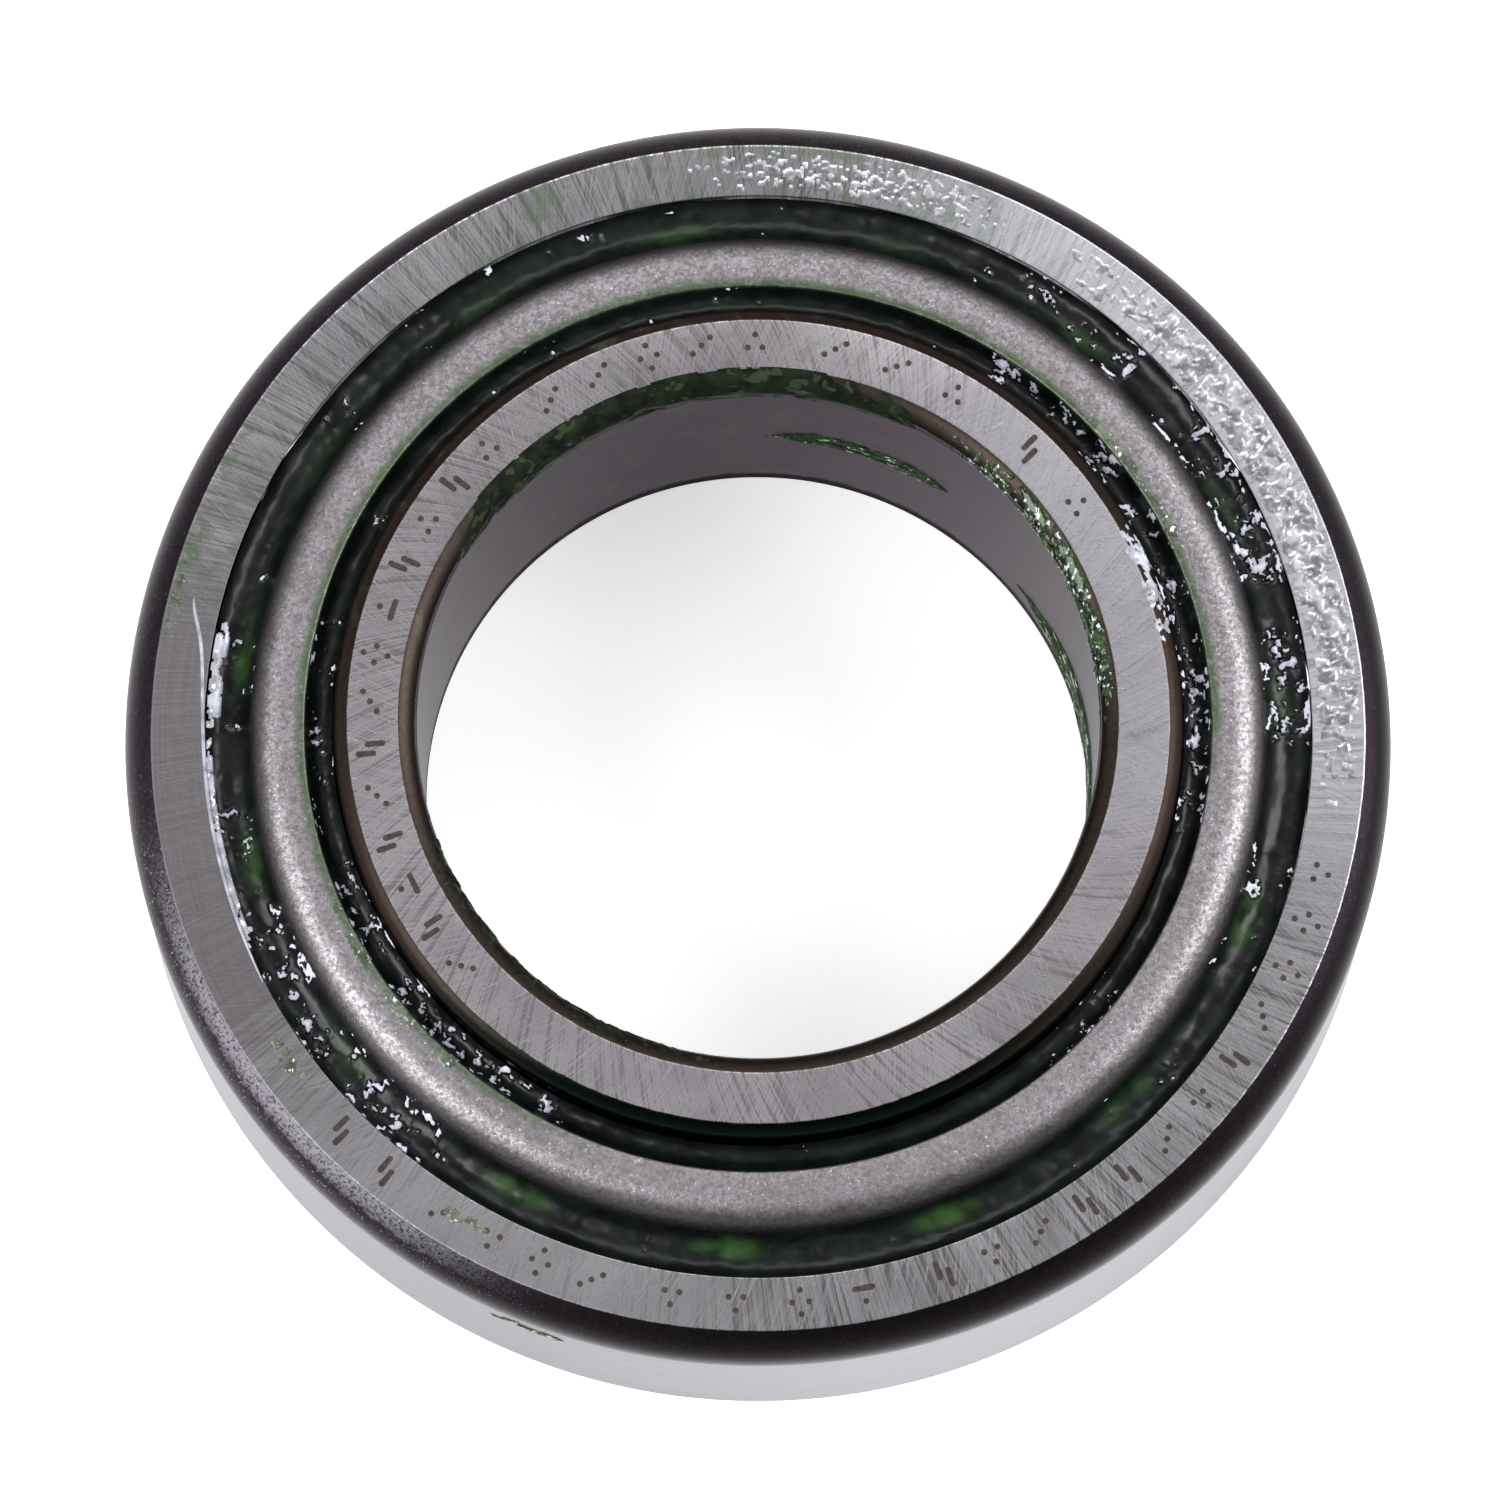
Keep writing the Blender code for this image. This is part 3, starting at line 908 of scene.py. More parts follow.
def make_roller():
    bpy.ops.object.select_all(action="DESELECT")
    bpy.ops.mesh.primitive_cone_add(
        vertices=72, radius1=LARGE_END_RADIUS * MM, radius2=SMALL_END_RADIUS * MM,
        depth=ROLLER_LENGTH * MM, location=(0, 0, -ROLLER_LENGTH / 2 * MM),
    )
    roller = bpy.context.object
    roller.name = "ground_roller"
    bpy.ops.object.transform_apply(location=True, rotation=False, scale=False)
    apply_modifier(
        roller, "BEVEL", width=0.35 * MM, segments=4, limit_method="ANGLE", angle_limit=math.radians(50)
    )
    bpy.ops.object.mode_set(mode="EDIT")
    bpy.ops.mesh.select_mode(type="FACE")
    for top in (True, False):
        select_by(
            roller, "polygons",
            lambda spot: spot.z > -0.01 if top else spot.z < 0.01 - ROLLER_LENGTH,
        )
        for inward, depth in DIMPLE_STEPS:
            bpy.ops.mesh.inset(thickness=inward * MM, depth=depth * MM)
    bpy.ops.object.mode_set(mode="OBJECT")
    smooth_piece(roller, 30)
    return roller


def roller_finish():
    material, tree, shader = new_finish("roller_ground_steel")
    place = object_place(tree)
    haze = grey_noise(tree, place, 900.0, detail=5.0)
    smudge = grey_noise(tree, place, 260.0, detail=3.0)
    shade = blend_colours(tree, haze, rgb(150, 150, 155), rgb(196, 196, 200))
    look = (shade, rescale(tree, haze, 0.2, 0.8, 0.16, 0.28))
    look = layer(tree, look, rescale(tree, smudge, 0.42, 0.6, 0.0, 0.6), rgb(40, 62, 44), 0.22)
    finish_surface(tree, shader, look, haze, 0.1, 0.00002)
    return material


ROLLER_FINISH = roller_finish()
pattern_roller = make_roller()
for index in range(ROLLER_COUNT):
    roller = pattern_roller.copy()
    roller.data = pattern_roller.data.copy()
    roller.name = f"ground_roller_{index + 1:02d}"
    bpy.context.collection.objects.link(roller)
    turn = Matrix.Rotation(FIRST_ROLLER + PITCH * index, 4, "Z")
    seat = Matrix.Translation((SMALL_END_PLACE[0] * MM, 0.0, SMALL_END_PLACE[1] * MM))
    roller.data.transform(turn @ seat @ Matrix.Rotation(-ROLLER_TILT, 4, "Y"))
    node = f"roller_{index + 1:02d}"
    dress(roller, node, ROLLER_FINISH, "roller_steel", node)
bpy.data.objects.remove(pattern_roller, do_unlink=True)

# %% [markdown]
# ## Grease finishes
# The grease is a very dark green paste. Where it lies over the rollers' bright ends, the green light coming
# back through it is painted on, and its torn crests are painted almost white, a painted highlight for their
# shine.
# It is wet, so it is smooth and has a clear coat. Two numbers painted on each grease mesh say where a
# roller's end is painted showing through and where it has a crest, so colour and shape always agree.


# %% Grease finishes
def read_paint(tree, name):
    return add_node(tree, "ShaderNodeAttribute", attribute_name=name).outputs["Fac"]


def wet_skin(material, coat):
    shader = material.node_tree.nodes["Principled BSDF"]
    shader.inputs["Coat Weight"].default_value = coat
    shader.inputs["Coat Roughness"].default_value = 0.14
    shader.inputs["Specular IOR Level"].default_value = 0.3 if coat else 0.1
    shader.inputs["IOR"].default_value = 1.48


def packed_grease_finish():
    material, tree, shader = new_finish("grease_packed", metallic=0.0)
    wet_skin(material, 0.1)
    place = object_place(tree)
    cloud = grey_noise(tree, place, 700.0, detail=4.0)
    ripple = grey_noise(tree, place, 1900.0, detail=3.0, distortion=0.8)
    shade = blend_colours(tree, rescale(tree, cloud, 0.3, 0.7), rgb(4, 8, 7), rgb(11, 19, 16))
    # Painted light: green where a roller's bright end shows through the grease.
    thin = times(tree, read_paint(tree, "thin"), rescale(tree, cloud, 0.25, 0.6))
    shade = blend_colours(tree, thin, shade, rgb(38, 68, 25))
    # Painted highlight: the torn crests are painted near white.
    crest = rescale(tree, read_paint(tree, "crest"), 0.50, 0.54)
    shade = blend_colours(tree, crest, shade, rgb(222, 220, 236))
    look = (shade, rescale(tree, cloud, 0.3, 0.8, 0.34, 0.50))
    finish_surface(tree, shader, look, ripple, 0.2, 0.00005)
    return material


def smear_finish(name, dark, light, glint, metallic=0.0, coat=0.3, smooth=0.12):
    """A thinner smear: dark to light by its own clouds, with a painted highlight in the glint colour on its
    crests.
    """
    material, tree, shader = new_finish(name, metallic)
    wet_skin(material, coat)
    place = object_place(tree)
    cloud = grey_noise(tree, place, 1100.0, detail=4.0)
    ripple = grey_noise(tree, place, 2600.0, detail=3.0, distortion=1.0)
    shade = blend_colours(tree, rescale(tree, cloud, 0.3, 0.7), dark, light)
    # Painted highlight: the crests take the glint colour.
    crest = rescale(tree, read_paint(tree, "crest"), 0.60, 0.66)
    shade = blend_colours(tree, crest, shade, glint)
    look = (shade, rescale(tree, cloud, 0.3, 0.8, smooth, smooth + 0.16))
    finish_surface(tree, shader, look, ripple, 0.16 if metallic else 0.5, 0.00006)
    return material


PACKED_GREASE = packed_grease_finish()
GREEN_GREASE = smear_finish("grease_green", rgb(12, 26, 12), rgb(46, 74, 36), rgb(206, 212, 216))
BORE_GREASE = smear_finish(
    "grease_bore", rgb(9, 13, 8), rgb(27, 36, 21), rgb(44, 54, 36), coat=0.0, smooth=0.45
)
DULL_GREASE = smear_finish(
    "grease_dull", rgb(14, 26, 12), rgb(46, 72, 38), rgb(178, 190, 170), coat=0.0, smooth=0.6
)
LIGHT_GREASE = smear_finish("grease_light", rgb(68, 76, 62), rgb(112, 119, 104), rgb(228, 234, 224))
# Painted reflection: this grease is painted pale for the bright room its glossy slopes mirror.
PAINTED_SHEEN_GREASE = smear_finish("grease_painted_sheen", rgb(128, 130, 138), rgb(186, 187, 198), rgb(236, 236, 244))
CLEAR_FILM = smear_finish(
    "grease_clear_film", rgb(178, 180, 181), rgb(226, 226, 232), rgb(246, 246, 250), 1.0, 0.1, 0.28
)
print("grease finishes: 7")


# %% [markdown]
# ## The packed grease
# Grease fills the gap on each side of the cage. Each packing is a ring spun from a closed section
# that hugs the cage and stops just short of the steel that turns past it. Its upper skin is
# then pushed up and down: long soft waves everywhere, and sharp torn crests in the stretches of
# the turn where a finger has dragged it. A sculpted mesh would look the same, but noise with a
# fixed start gives the same ring on every run.

# %% Grease tools
PACK_STEPS = 1600
NOISE_SEED = 11
# Long waves in the skin of a packing, in millimetres, and the levels between which a crest rises.
WAVE_HEIGHT = 0.11
CREST_FROM_TO = (0.40, 0.72)
# The least share of a wave and of a crest that is kept at the two edges of the skin.
EDGE_WAVE = 0.4
EDGE_CREST = 0.3
# Vector noise takes its offsets from this seed, and without one they change from run to run.
noise.seed_set(NOISE_SEED)


def soft_step(value, low, high):
    share = min(1.0, max(0.0, (value - low) / (high - low)))
    return share * share * (3.0 - 2.0 * share)


def turn_between(azimuth, start, end, fade=5.0):
    """1 inside start..end (degrees, anticlockwise), fading to 0 outside. It may cross 0."""
    middle = (start + end) / 2
    away = abs((azimuth - middle + 180.0) % 360.0 - 180.0)
    return 1.0 - soft_step(away, (end - start) / 2 - fade, (end - start) / 2 + fade)


def in_stretches(azimuth, stretches):
    return max(strength * turn_between(azimuth, start, end) for start, end, strength in stretches)


def torn_noise(spot, size, seed):
    """Sharp, drawn-out islands, about 0 to 1. The spot is in millimetres."""
    shift = Vector((seed * 13.7, seed * 7.3, seed * 3.1))
    bend = noise.noise_vector(spot / (size * 2.4) + shift)
    place = spot / size + bend * 0.6 + shift
    return 0.5 + 0.8 * noise.noise(place) + 0.6 * noise.noise(place * 2.9)


def denser(line, parts=2):
    """The same line with each stretch cut into parts."""
    points = []
    for (r1, z1), (r2, z2) in zip(line, line[1:]):
        points += [(r1 + (r2 - r1) * part / parts, z1 + (z2 - z1) * part / parts) for part in range(parts)]
    return points + [line[-1]]


def paint(piece, name, values):
    layer_data = piece.data.attributes.new(name, "FLOAT", "POINT")
    layer_data.data.foreach_set("value", values)


def pack_ring(name, top_line, under_line, torn, lens_light_at, lift, seed, size=0.5, below=False):
    """Spins a grease ring and tears its top. With below, the lines' heights count downwards."""
    ring = draw_section(name, denser(top_line) + under_line)
    bpy.ops.object.mode_set(mode="OBJECT")
    apply_modifier(
        ring, "SCREW", steps=PACK_STEPS, render_steps=PACK_STEPS, use_merge_vertices=True,
        merge_threshold=WELD,
    )
    bpy.ops.object.mode_set(mode="EDIT")
    clean_mesh()
    bpy.ops.object.mode_set(mode="OBJECT")
    low_radius, high_radius = top_line[0][0], top_line[-1][0]
    floor_height = max(height for _, height in under_line) + 0.02
    crests = []
    lens_light_shares = []
    for vertex in ring.data.vertices:
        spot = vertex.co / MM
        radius = math.hypot(spot.x, spot.y)
        azimuth = math.degrees(math.atan2(spot.y, spot.x)) % 360.0
        if spot.z < floor_height:
            crests.append(0.0)
            lens_light_shares.append(0.0)
            continue
        share = (radius - low_radius) / (high_radius - low_radius)
        middle = 1.0 - abs(2.0 * share - 1.0) ** 4
        wave = noise.fractal(spot * 0.5, 1.0, 2.0, 3) * WAVE_HEIGHT
        clump = 0.5 + 0.95 * noise.noise(spot / 1.7 + Vector((seed, 4.0, 9.0)))
        level = torn_noise(spot, size, seed) * torn(azimuth) * (0.56 + 0.84 * clump)
        crest = lift * soft_step(level, *CREST_FROM_TO)
        height = spot.z + wave * max(EDGE_WAVE, middle) + crest * max(EDGE_CREST, middle)
        vertex.co.z = max(height, floor_height) * MM
        crests.append(level)
        lens_light_shares.append(lens_light_at(azimuth, radius))
    paint(ring, "crest", crests)
    paint(ring, "thin", lens_light_shares)
    if below:
        ring.data.transform(Matrix.Scale(-1.0, 4, (0.0, 0.0, 1.0)))
        ring.data.flip_normals()
    bpy.ops.object.shade_smooth_by_angle(angle=math.radians(50))
    return ring


print("grease steps round the ring:", PACK_STEPS)

# %% Grease between the cage and the cup
OUTER_TORN = (
    (-4, 62, 0.66), (331, 353, 0.56), (196, 236, 0.62), (166, 198, 0.46), (236, 333, 0.34), (60, 170, 0.38)
)
OUTER_CALM = ((348.2, 351.8), (327.4, 330.6), (41.0, 45.5), (13.2, 16.8))
# Painted light: green spots painted on the outer packing over each roller's bright end; their radius, half
# sizes and strengths.
LENS_RADIUS = 26.85
LENS_HALF = (2.6, 0.75)
LENS_STRENGTH = (0.5, 0.3, 0.5, 0.2, 0.6, 0.3, 0.2, 0.8, 0.9, 0.5, 0.9, 1.0, 0.95, 0.6, 0.9)


def lens_at(azimuth, radius):
    """How much of the nearest roller's bright end is painted as showing through the grease: painted light.
    """
    turn = (azimuth - math.degrees(FIRST_ROLLER)) / math.degrees(PITCH)
    nearest = round(turn)
    swing = math.radians((turn - nearest) * math.degrees(PITCH))
    reach = math.hypot(radius * swing / LENS_HALF[0], (radius - LENS_RADIUS) / LENS_HALF[1])
    return (1.0 - soft_step(reach, 0.3, 1.0)) * LENS_STRENGTH[nearest % ROLLER_COUNT]


def outer_torn(azimuth):
    calm = max(turn_between(azimuth, start, end, 1.0) for start, end in OUTER_CALM)
    return in_stretches(azimuth, OUTER_TORN) * (1.0 - 0.6 * calm)


outer_top = [
    (26.00, 18.15), (26.14, 17.85), (26.32, 17.55), (26.55, 17.30), (26.80, 17.14), (27.05, 17.05),
    (27.30, 17.02), (27.55, 17.04), (27.78, 17.10), (27.98, 17.20), (28.14, 17.33), (28.26, 17.47),
    (28.34, 17.60), (28.37, 17.70),
]
outer_under = [(28.42, 16.85), (28.40, 16.76), (27.4, 16.70), (26.5, 16.66), (26.32, 16.85)]
outer_pack = pack_ring(
    "grease_outer_pack", outer_top, outer_under, outer_torn, lens_at, 0.30, 1
)
dress(outer_pack, "cage", PACKED_GREASE, "grease")

# %% Grease between the cage and the cone
INNER_TORN = (
    (196, 246, 0.62), (163, 198, 0.50), (345, 420, 0.68), (308, 327, 0.56), (246, 310, 0.34), (60, 163, 0.38)
)


def no_lens(azimuth, radius):
    return 0.0


inner_top = [
    (21.83, 19.10), (21.90, 18.95), (22.00, 18.80), (22.14, 18.68), (22.30, 18.60), (22.48, 18.57),
    (22.66, 18.60), (22.82, 18.68), (22.95, 18.80), (23.06, 18.95), (23.14, 19.10), (23.22, 19.22),
]
inner_under = [(23.24, 18.36), (23.20, 18.26), (22.5, 18.12), (21.92, 18.2), (21.85, 18.36)]
inner_pack = pack_ring(
    "grease_inner_pack", inner_top, inner_under, lambda a: in_stretches(a, INNER_TORN), no_lens, 0.28, 2
)
dress(inner_pack, "cage", PACKED_GREASE, "grease")

# %% [markdown]
# The other side of the bearing is packed too, more thinly: one ring lies along the cup's raceway
# and leaves the rollers' large ends showing, and one fills the space inside the cage's rim. Both
# are spun the right way up, torn like the others, and then mirrored downwards.


# %% Grease at the large ends
def low_torn(azimuth):
    return 0.50


outer_low_top = [
    (29.70, -3.78), (29.76, -3.68), (29.86, -3.58), (30.00, -3.50), (30.18, -3.45), (30.36, -3.44),
    (30.52, -3.46), (30.66, -3.52), (30.77, -3.60), (30.84, -3.70),
]
outer_low_under = [(30.80, -3.98), (30.70, -4.08), (30.20, -4.02), (29.80, -3.98), (29.72, -3.92)]
outer_low = pack_ring(
    "grease_outer_low", outer_low_top, outer_low_under, low_torn, no_lens, 0.16, 3, 0.6, below=True
)
dress(outer_low, "cage", PACKED_GREASE, "grease")
inner_low_top = [
    (25.32, -2.86), (25.40, -2.74), (25.56, -2.62), (25.84, -2.54), (26.20, -2.50), (26.56, -2.52),
    (26.86, -2.58), (27.06, -2.68), (27.18, -2.80), (27.24, -2.92),
]
inner_low_under = [(27.22, -3.16), (27.10, -3.24), (26.20, -3.20), (25.42, -3.14), (25.34, -3.06)]
inner_low = pack_ring(
    "grease_inner_low", inner_low_top, inner_low_under, low_torn, no_lens, 0.16, 4, 0.6, below=True
)
dress(inner_low, "cage", PACKED_GREASE, "grease")

# %% [markdown]
# ## Smears and films
# Grease that got onto the steel is a thin patch that follows the surface. Each one starts as a
# flat grid, is wrapped onto a stretch of the ring's section, and is swollen along the
# surface's normal by the same torn noise. Where the noise says there is none, its faces are
# deleted, which leaves a ragged outline. A Solidify gives the skin an underside, so that it is a
# closed body.


# %% Smear tool
# The noise is squeezed this much up the section, so that islands are drawn out round the ring.
SMEAR_DRAG = 2.2
FULL_AT = 0.3
BARE_BELOW = -0.01
SKIN = 0.03


def walk_line(line, share):
    """The point at this share of a (radius, height) line's length, and the normal on its left."""
    lengths = [math.dist(a, b) for a, b in zip(line, line[1:])]
    left = share * sum(lengths)
    index = 0
    while left > lengths[index] and index < len(lengths) - 1:
        left -= lengths[index]
        index += 1
    (r1, z1), (r2, z2) = line[index:index + 2]
    part = min(1.0, left / lengths[index])
    normal = (-(z2 - z1) / lengths[index], (r2 - r1) / lengths[index])
    return (r1 + (r2 - r1) * part, z1 + (z2 - z1) * part), normal


def fill_corner_touches(mesh, bare):
    """Where two kept faces meet only at one point, keeps the faces between them as well."""
    around = {}
    for face in mesh.polygons:
        for corner in face.vertices:
            around.setdefault(corner, []).append(set(face.vertices))
    found = True
    while found:
        found = False
        for corner, faces in around.items():
            kept = [face for face in faces if not all(bare[point] for point in face)]
            if bare[corner] and len(kept) == 2 and len(kept[0] & kept[1]) == 1:
                bare[corner] = False
                found = True


def smear_swell(level, thick):
    """How far the film stands off the steel. It dips just under the surface where it is bare."""
    if level < 0:
        return max(-SKIN, thick * level / FULL_AT)
    return thick * math.sin(min(level, FULL_AT) / FULL_AT * 1.57)


def delete_bare_faces(film, bare):
    bpy.ops.object.mode_set(mode="EDIT")
    bpy.ops.mesh.select_mode(type="FACE")
    bpy.ops.mesh.select_all(action="DESELECT")
    bpy.ops.object.mode_set(mode="OBJECT")
    for face in film.data.polygons:
        face.select = all(bare[corner] for corner in face.vertices)
    bpy.ops.object.mode_set(mode="EDIT")
    bpy.ops.mesh.delete(type="FACE")
    bpy.ops.object.mode_set(mode="OBJECT")


def lay_smear(name, line, start, end, thick, size, cover, seed, fine=0.085):
    """A torn film on the left side of a section line, from azimuth start to end in degrees."""
    across = line[0][0] * math.radians(end - start)
    width = sum(math.dist(a, b) for a, b in zip(line, line[1:]))
    columns = int(across / fine)
    rows = max(8, int(width / fine))
    bpy.ops.object.select_all(action="DESELECT")
    bpy.ops.mesh.primitive_grid_add(x_subdivisions=columns, y_subdivisions=rows, size=1)
    film = bpy.context.object
    film.name = name
    crests = []
    bare = []
    for vertex in film.data.vertices:
        along = vertex.co.x + 0.5
        side = vertex.co.y + 0.5
        azimuth = math.radians(start + (end - start) * along)
        (radius, height), (out_r, out_z) = walk_line(line, side)
        spot = Vector((radius * math.cos(azimuth), radius * math.sin(azimuth), height * SMEAR_DRAG))
        run = min(along, 1 - along) * across / (2 * width)
        edge = min(side, 1 - side) - 0.5 * (1 - min(1.0, run)) ** 2
        frame_fade = min(1.0, 3.5 * along, 3.5 * (1 - along)) * min(1.0, max(0.0, 5 * edge))
        level = torn_noise(spot, size, seed) * frame_fade - (1.0 - cover)
        swell = smear_swell(level, thick)
        radius += out_r * swell
        height += out_z * swell
        vertex.co = Vector((radius * math.cos(azimuth), radius * math.sin(azimuth), height)) * MM
        crests.append(torn_noise(spot, size * 0.45, seed + 5) * 0.8 if level > 0.03 else 0.0)
        bare.append(level <= BARE_BELOW)
    paint(film, "crest", crests)
    fill_corner_touches(film.data, bare)
    delete_bare_faces(film, bare)
    apply_modifier(film, "SOLIDIFY", thickness=SKIN * MM, offset=-1.0)
    bpy.ops.object.shade_smooth_by_angle(angle=math.radians(60))
    return film


print("smear skin in mm:", SKIN)

# %% Smears on the bore
# The lines go up the bore, so that their left side faces the axis.
BORE_EDGE = [(17.462, 18.9), (17.462, 19.984), (17.808, 20.596), (18.392, 20.984), (18.50, 20.984)]
BORE_CHAMFER = [(17.462, 19.7), (17.462, 19.984), (17.808, 20.596), (18.392, 20.984)]
BORE_WALL = [(17.462, 9.6), (17.462, 12.0)]
BORE_FOOT = [(17.462, 1.6), (17.462, 8.0)]
bore_smears = (
    ("bore_bead_left", BORE_EDGE, 58, 156, 0.09, 2.0, 0.94, 3, BORE_GREASE),
    ("bore_bead_right", BORE_CHAMFER, -8, 64, 0.08, 0.7, 0.66, 4, GREEN_GREASE),
    ("bore_bead_front", BORE_CHAMFER, 182, 276, 0.05, 0.8, 0.50, 5, BORE_GREASE),
    ("bore_streak_back", BORE_WALL, 50, 94, 0.07, 0.9, 0.60, 6, DULL_GREASE),
    ("bore_streak_right", BORE_FOOT, -32, 44, 0.10, 1.6, 0.86, 7, DULL_GREASE),
)
for name, line, start, end, thick, size, cover, seed, finish in bore_smears:
    smear = lay_smear("grease_" + name, line, start, end, thick, size, cover, seed)
    dress(smear, "cone", finish, "grease")

# %% Smears on the rings and the flange
CUP_FACE = [(28.45, 18.034), (31.10, 18.034)]
CUP_RIM = [(30.3, 18.034), (31.1, 18.034)]
CUP_MIDDLE = [(28.8, 18.034), (30.2, 18.034)]
CUP_GAP = [(27.62, 17.72), (28.0, 17.88), (28.30, 17.98)]
CUP_EDGE = [(28.02, 17.86), (28.20, 17.92), (28.36, 17.98)]
CUP_WALL = [(32.545, 14.9), (32.545, 12.9)]
CONE_EDGE = [(20.70, 20.984), (20.942, 20.984), (21.438, 20.68), (21.742, 20.184)]
FLANGE_LIP = [(23.19, 19.434), (23.9, 19.434)]
ring_smears = (
    ("cup_film", CUP_FACE, -16, 68, 0.022, 0.6, 0.58, 8, "cup", CLEAR_FILM),
    ("cup_top_dabs", CUP_FACE, 56, 106, 0.014, 0.3, 0.24, 9, "cup", CLEAR_FILM),
    ("cup_gap_film", CUP_GAP, 168, 181, 0.05, 1.2, 0.80, 10, "cup", PAINTED_SHEEN_GREASE),
    ("cup_edge_film", CUP_EDGE, 176, 206, 0.05, 1.0, 0.78, 17, "cup", PAINTED_SHEEN_GREASE),
    ("cup_flecks_left", CUP_MIDDLE, 212, 221, 0.04, 0.4, 0.34, 11, "cup", LIGHT_GREASE),
    ("cup_flecks_front", CUP_MIDDLE, 236, 244, 0.04, 0.4, 0.34, 18, "cup", LIGHT_GREASE),
    ("cup_flecks_upper", CUP_RIM, 160, 174, 0.02, 0.3, 0.34, 12, "cup", LIGHT_GREASE),
    ("wall_flecks", CUP_WALL, 243, 257, 0.05, 1.3, 0.24, 21, "cup", DULL_GREASE),
    ("cone_edge_film", CONE_EDGE, 8, 33, 0.08, 0.7, 0.54, 14, "cone", PAINTED_SHEEN_GREASE),
    ("flange_dabs_right", FLANGE_LIP, 14, 50, 0.06, 0.8, 0.46, 15, "cage", LIGHT_GREASE),
    ("flange_dabs_left", FLANGE_LIP, 196, 242, 0.05, 0.7, 0.36, 16, "cage", LIGHT_GREASE),
)
for name, line, start, end, thick, size, cover, seed, body, finish in ring_smears:
    smear = lay_smear("grease_" + name, line, start, end, thick, size, cover, seed)
    dress(smear, body, finish, "grease")

# %% [markdown]
# A drawn film piles up at its edge. Here that edge is a thin bead which wanders over the cup's
# face and then follows the raceway's mouth: a line of points given a round section, thinner at
# both ends, and made a mesh.

# %% Bead at the film's edge
BEAD_PATH = (
    (167.0, 29.86), (168.0, 29.74), (169.4, 29.40), (171.4, 28.98), (174.0, 28.72), (178.0, 28.56),
    (184.0, 28.48), (190.0, 28.46), (197.0, 28.47), (203.0, 28.50), (208.0, 28.50),
)


def draw_bead(name, path, height, thickness):
    line = bpy.data.curves.new(name, "CURVE")
    line.dimensions = "3D"
    line.bevel_depth = thickness / 2 * MM
    line.bevel_resolution = 2
    spline = line.splines.new("NURBS")
    spline.points.add(len(path) - 1)
    for point, (azimuth, radius) in zip(spline.points, path):
        turn = math.radians(azimuth)
        point.co = (radius * math.cos(turn) * MM, radius * math.sin(turn) * MM, height * MM, 1.0)
        point.radius = 1.0
    spline.points[0].radius = 0.3
    spline.points[-1].radius = 0.3
    spline.use_endpoint_u = True
    spline.order_u = 4
    spline.resolution_u = 10
    line.use_fill_caps = True
    bead = bpy.data.objects.new(name, line)
    bpy.context.collection.objects.link(bead)
    bpy.ops.object.select_all(action="DESELECT")
    bead.select_set(True)
    bpy.context.view_layer.objects.active = bead
    bpy.ops.object.convert(target="MESH")
    bpy.ops.object.shade_smooth()
    return bead


bead = draw_bead("grease_film_bead", BEAD_PATH, 18.04, 0.19)
paint(bead, "crest", [0.0] * len(bead.data.vertices))
dress(bead, "cup", PAINTED_SHEEN_GREASE, "grease")

# %% [markdown]
# ## Etched marks
# Makers etch small dark marks into the ground faces. These are neutral ones, made only of
# ticks, dashes and dots: no letters or figures. Each mark is a few strokes, and a
# stroke is a thin disc pulled out into a round-ended bar. They lie a hair above the face.

# %% Mark tools
MARK_HEIGHT = 1.25
MARK_STROKE = 0.16
MARK_LIFT = 0.012
# Strokes of each mark: start and end in shares of its height, x along the ring and y outwards.
MARKS = (
    (((-0.3, -0.25), (-0.3, -0.25)), ((0.3, -0.25), (0.3, -0.25)), ((0.0, 0.3), (0.0, 0.3))),
    (((-0.35, -0.25), (0.35, -0.25)), ((0.0, 0.3), (0.0, 0.3))),
    (((-0.4, -0.3), (-0.4, -0.3)), ((0.0, 0.0), (0.0, 0.0)), ((0.4, 0.3), (0.4, 0.3))),
    (
        ((0.0, 0.5), (0.0, 0.5)), ((0.35, 0.0), (0.35, 0.0)), ((0.0, -0.5), (0.0, -0.5)),
        ((-0.35, 0.0), (-0.35, 0.0)),
    ),
    (((-0.2, 0.5), (-0.2, -0.1)), ((0.2, 0.1), (0.2, -0.5))),
)


def mark_finish():
    material, tree, shader = new_finish("etched_mark", metallic=0.2)
    place = object_place(tree)
    grain = grey_noise(tree, place, 5000.0, detail=3.0)
    shade = blend_colours(tree, rescale(tree, grain, 0.3, 0.7), rgb(34, 27, 24), rgb(66, 56, 51))
    finish_surface(tree, shader, (shade, rescale(tree, grain, 0.3, 0.7, 0.5, 0.7)), grain, 0.2, 0.00002)
    return material


def pull_stroke(start, end):
    """A round-ended bar, thin and flat, between two points in millimetres."""
    length = math.dist(start, end)
    bpy.ops.mesh.primitive_cylinder_add(vertices=12, radius=MARK_STROKE * MM, depth=2 * MARK_LIFT * MM)
    stroke = bpy.context.object
    bpy.ops.object.mode_set(mode="EDIT")
    select_by(stroke, "vertices", lambda spot: spot.x > 0.001)
    bpy.ops.transform.translate(value=(length * MM, 0.0, 0.0))
    bpy.ops.object.mode_set(mode="OBJECT")
    turn = math.atan2(end[1] - start[1], end[0] - start[0]) if length else 0.0
    move = Matrix.Translation((start[0] * MM, start[1] * MM, 0.0))
    stroke.data.transform(move @ Matrix.Rotation(turn, 4, "Z"))
    return stroke


def join_pieces(pieces):
    bpy.ops.object.select_all(action="DESELECT")
    for piece in pieces:
        piece.select_set(True)
    bpy.context.view_layer.objects.active = pieces[0]
    bpy.ops.object.join()
    return bpy.context.object


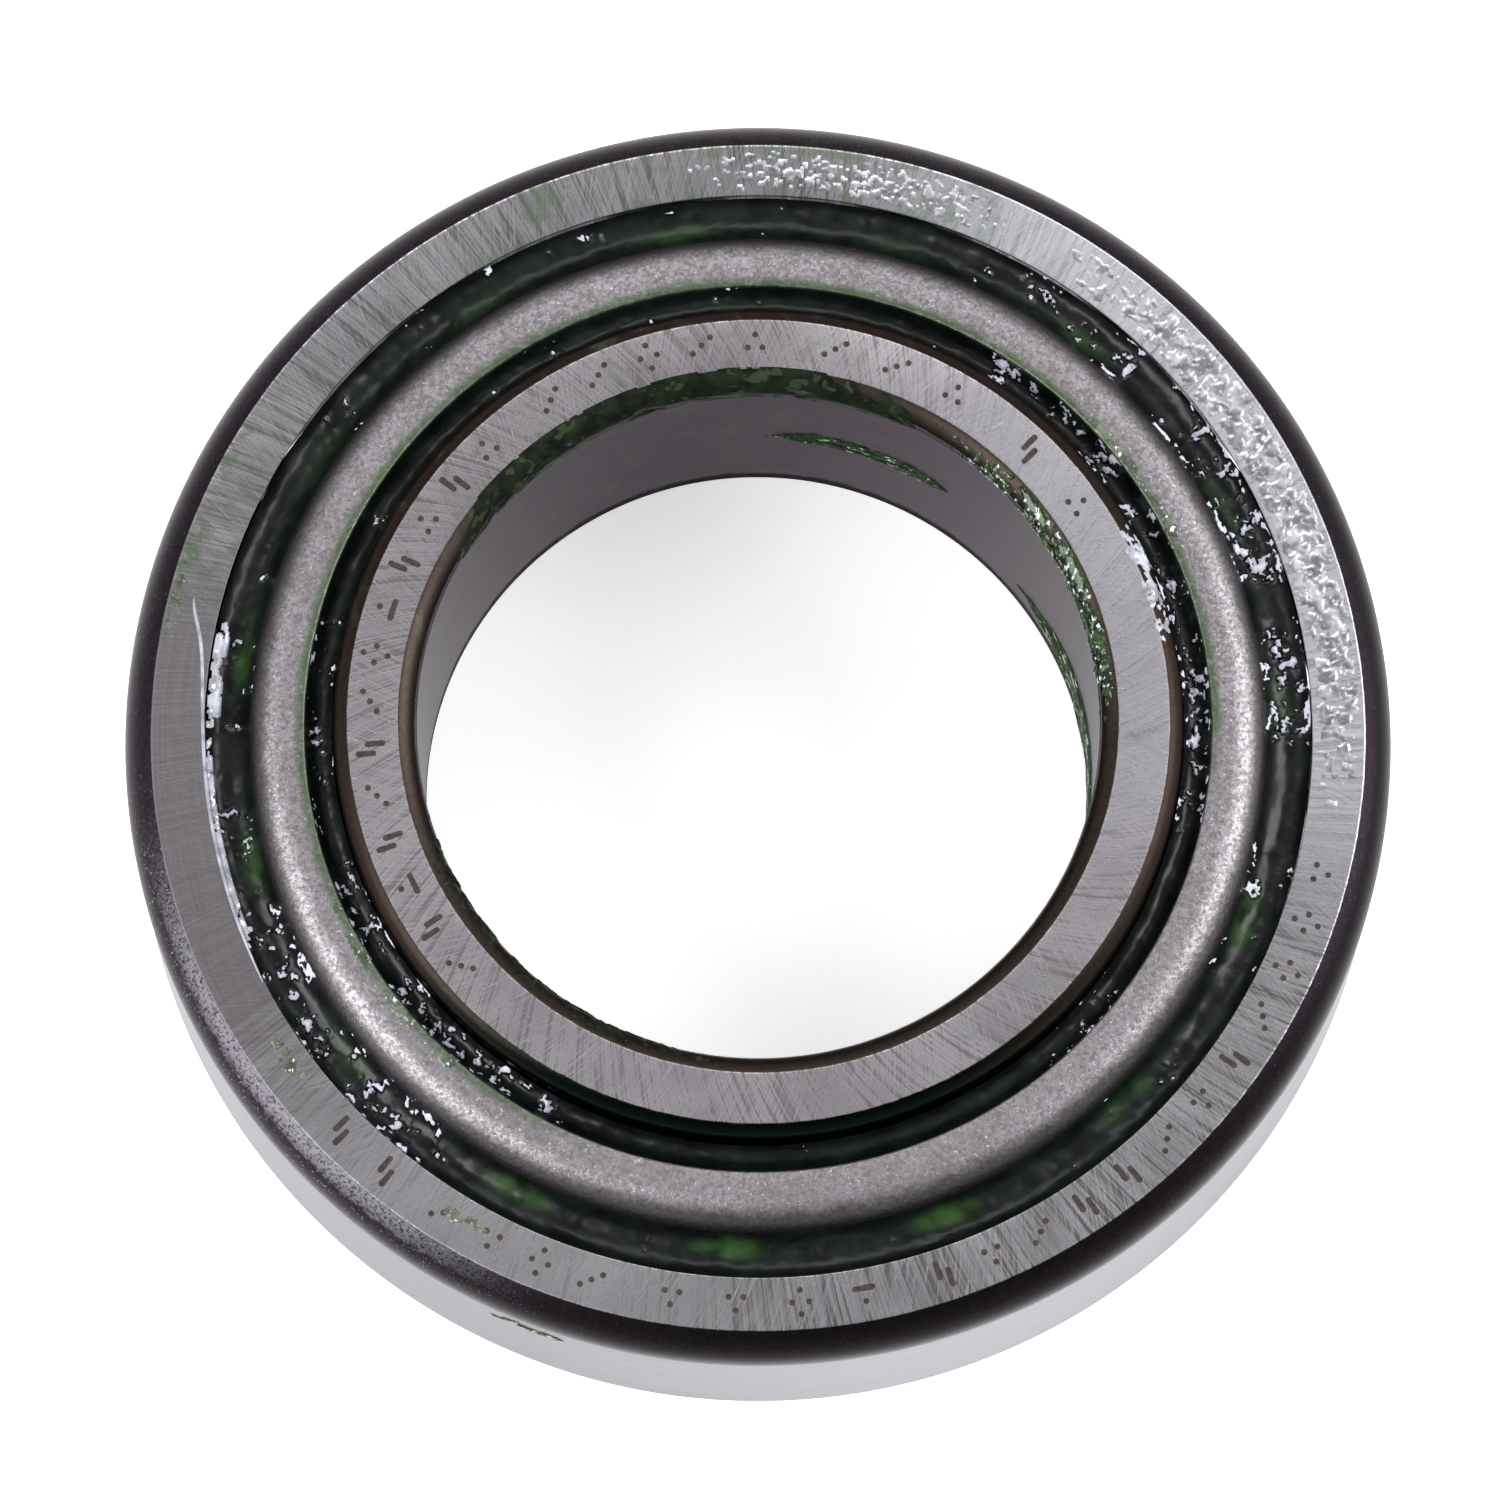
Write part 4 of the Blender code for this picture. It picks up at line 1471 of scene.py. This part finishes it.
def etch_marks(name, radius, height, stretches, spacing, size):
    """Rows of marks round a face. Stretches are (start, end) in degrees."""
    patterns = []
    for mark in MARKS:
        bars = [pull_stroke([size * x for x in a], [size * x for x in b]) for a, b in mark]
        patterns.append(join_pieces(bars))
    copies = []
    pick = random.Random(int(radius))
    for start, end in stretches:
        count = int(math.radians(end - start) * radius / spacing) + 1
        for step in range(count):
            azimuth = math.radians(start + (end - start) * step / max(1, count - 1))
            copy = pick.choice(patterns).copy()
            copy.data = copy.data.copy()
            bpy.context.collection.objects.link(copy)
            seat = Matrix.Translation((0.0, radius * MM, height * MM))
            copy.data.transform(Matrix.Rotation(azimuth - math.pi / 2, 4, "Z") @ seat)
            copies.append(copy)
    for pattern in patterns:
        bpy.data.objects.remove(pattern, do_unlink=True)
    marks = join_pieces(copies)
    marks.name = name
    print(name, "marks:", len(copies))
    return marks


# %% Marks on both rings
MARK_FINISH = mark_finish()
CUP_MARKS = ((289, 346), (262, 281), (238, 254), (225, 231))
CONE_MARKS = ((135, 221), (91, 123), (60, 79), (35, 46))
cup_marks = etch_marks("etched_marks_cup", 29.75, 18.034, CUP_MARKS, 2.5, MARK_HEIGHT)
dress(cup_marks, "cup", MARK_FINISH, "cup_steel")
cone_marks = etch_marks("etched_marks_cone", 19.85, 20.984, CONE_MARKS, 2.35, MARK_HEIGHT)
dress(cone_marks, "cone", MARK_FINISH, "cone_steel")

# %% [markdown]
# ## Floor
# The bearing stands on a plain pale sheet, which the ground wall and the bore mirror.

# %% Floor
FLOOR_SIZE = 6.0
FLOOR_GAP = 0.00002
FLOOR_GLOW = 0.55


def lay_floor():
    bpy.ops.object.select_all(action="DESELECT")
    bpy.ops.mesh.primitive_circle_add(vertices=96, radius=FLOOR_SIZE / 2, fill_type="NGON")
    floor = bpy.context.object
    floor.name = "floor"
    floor.location.z = cad_low.z - FLOOR_GAP
    material, tree, shader = new_finish("pale_sheet", metallic=0.0)
    shader.inputs["Base Color"].default_value = (0.97, 0.97, 0.97, 1.0)
    shader.inputs["Roughness"].default_value = 0.9
    shader.inputs["Emission Color"].default_value = (1.0, 1.0, 1.0, 1.0)
    shader.inputs["Emission Strength"].default_value = FLOOR_GLOW
    floor.data.materials.append(material)
    return floor


floor = lay_floor()

# %% Update the scene
bpy.context.view_layer.update()
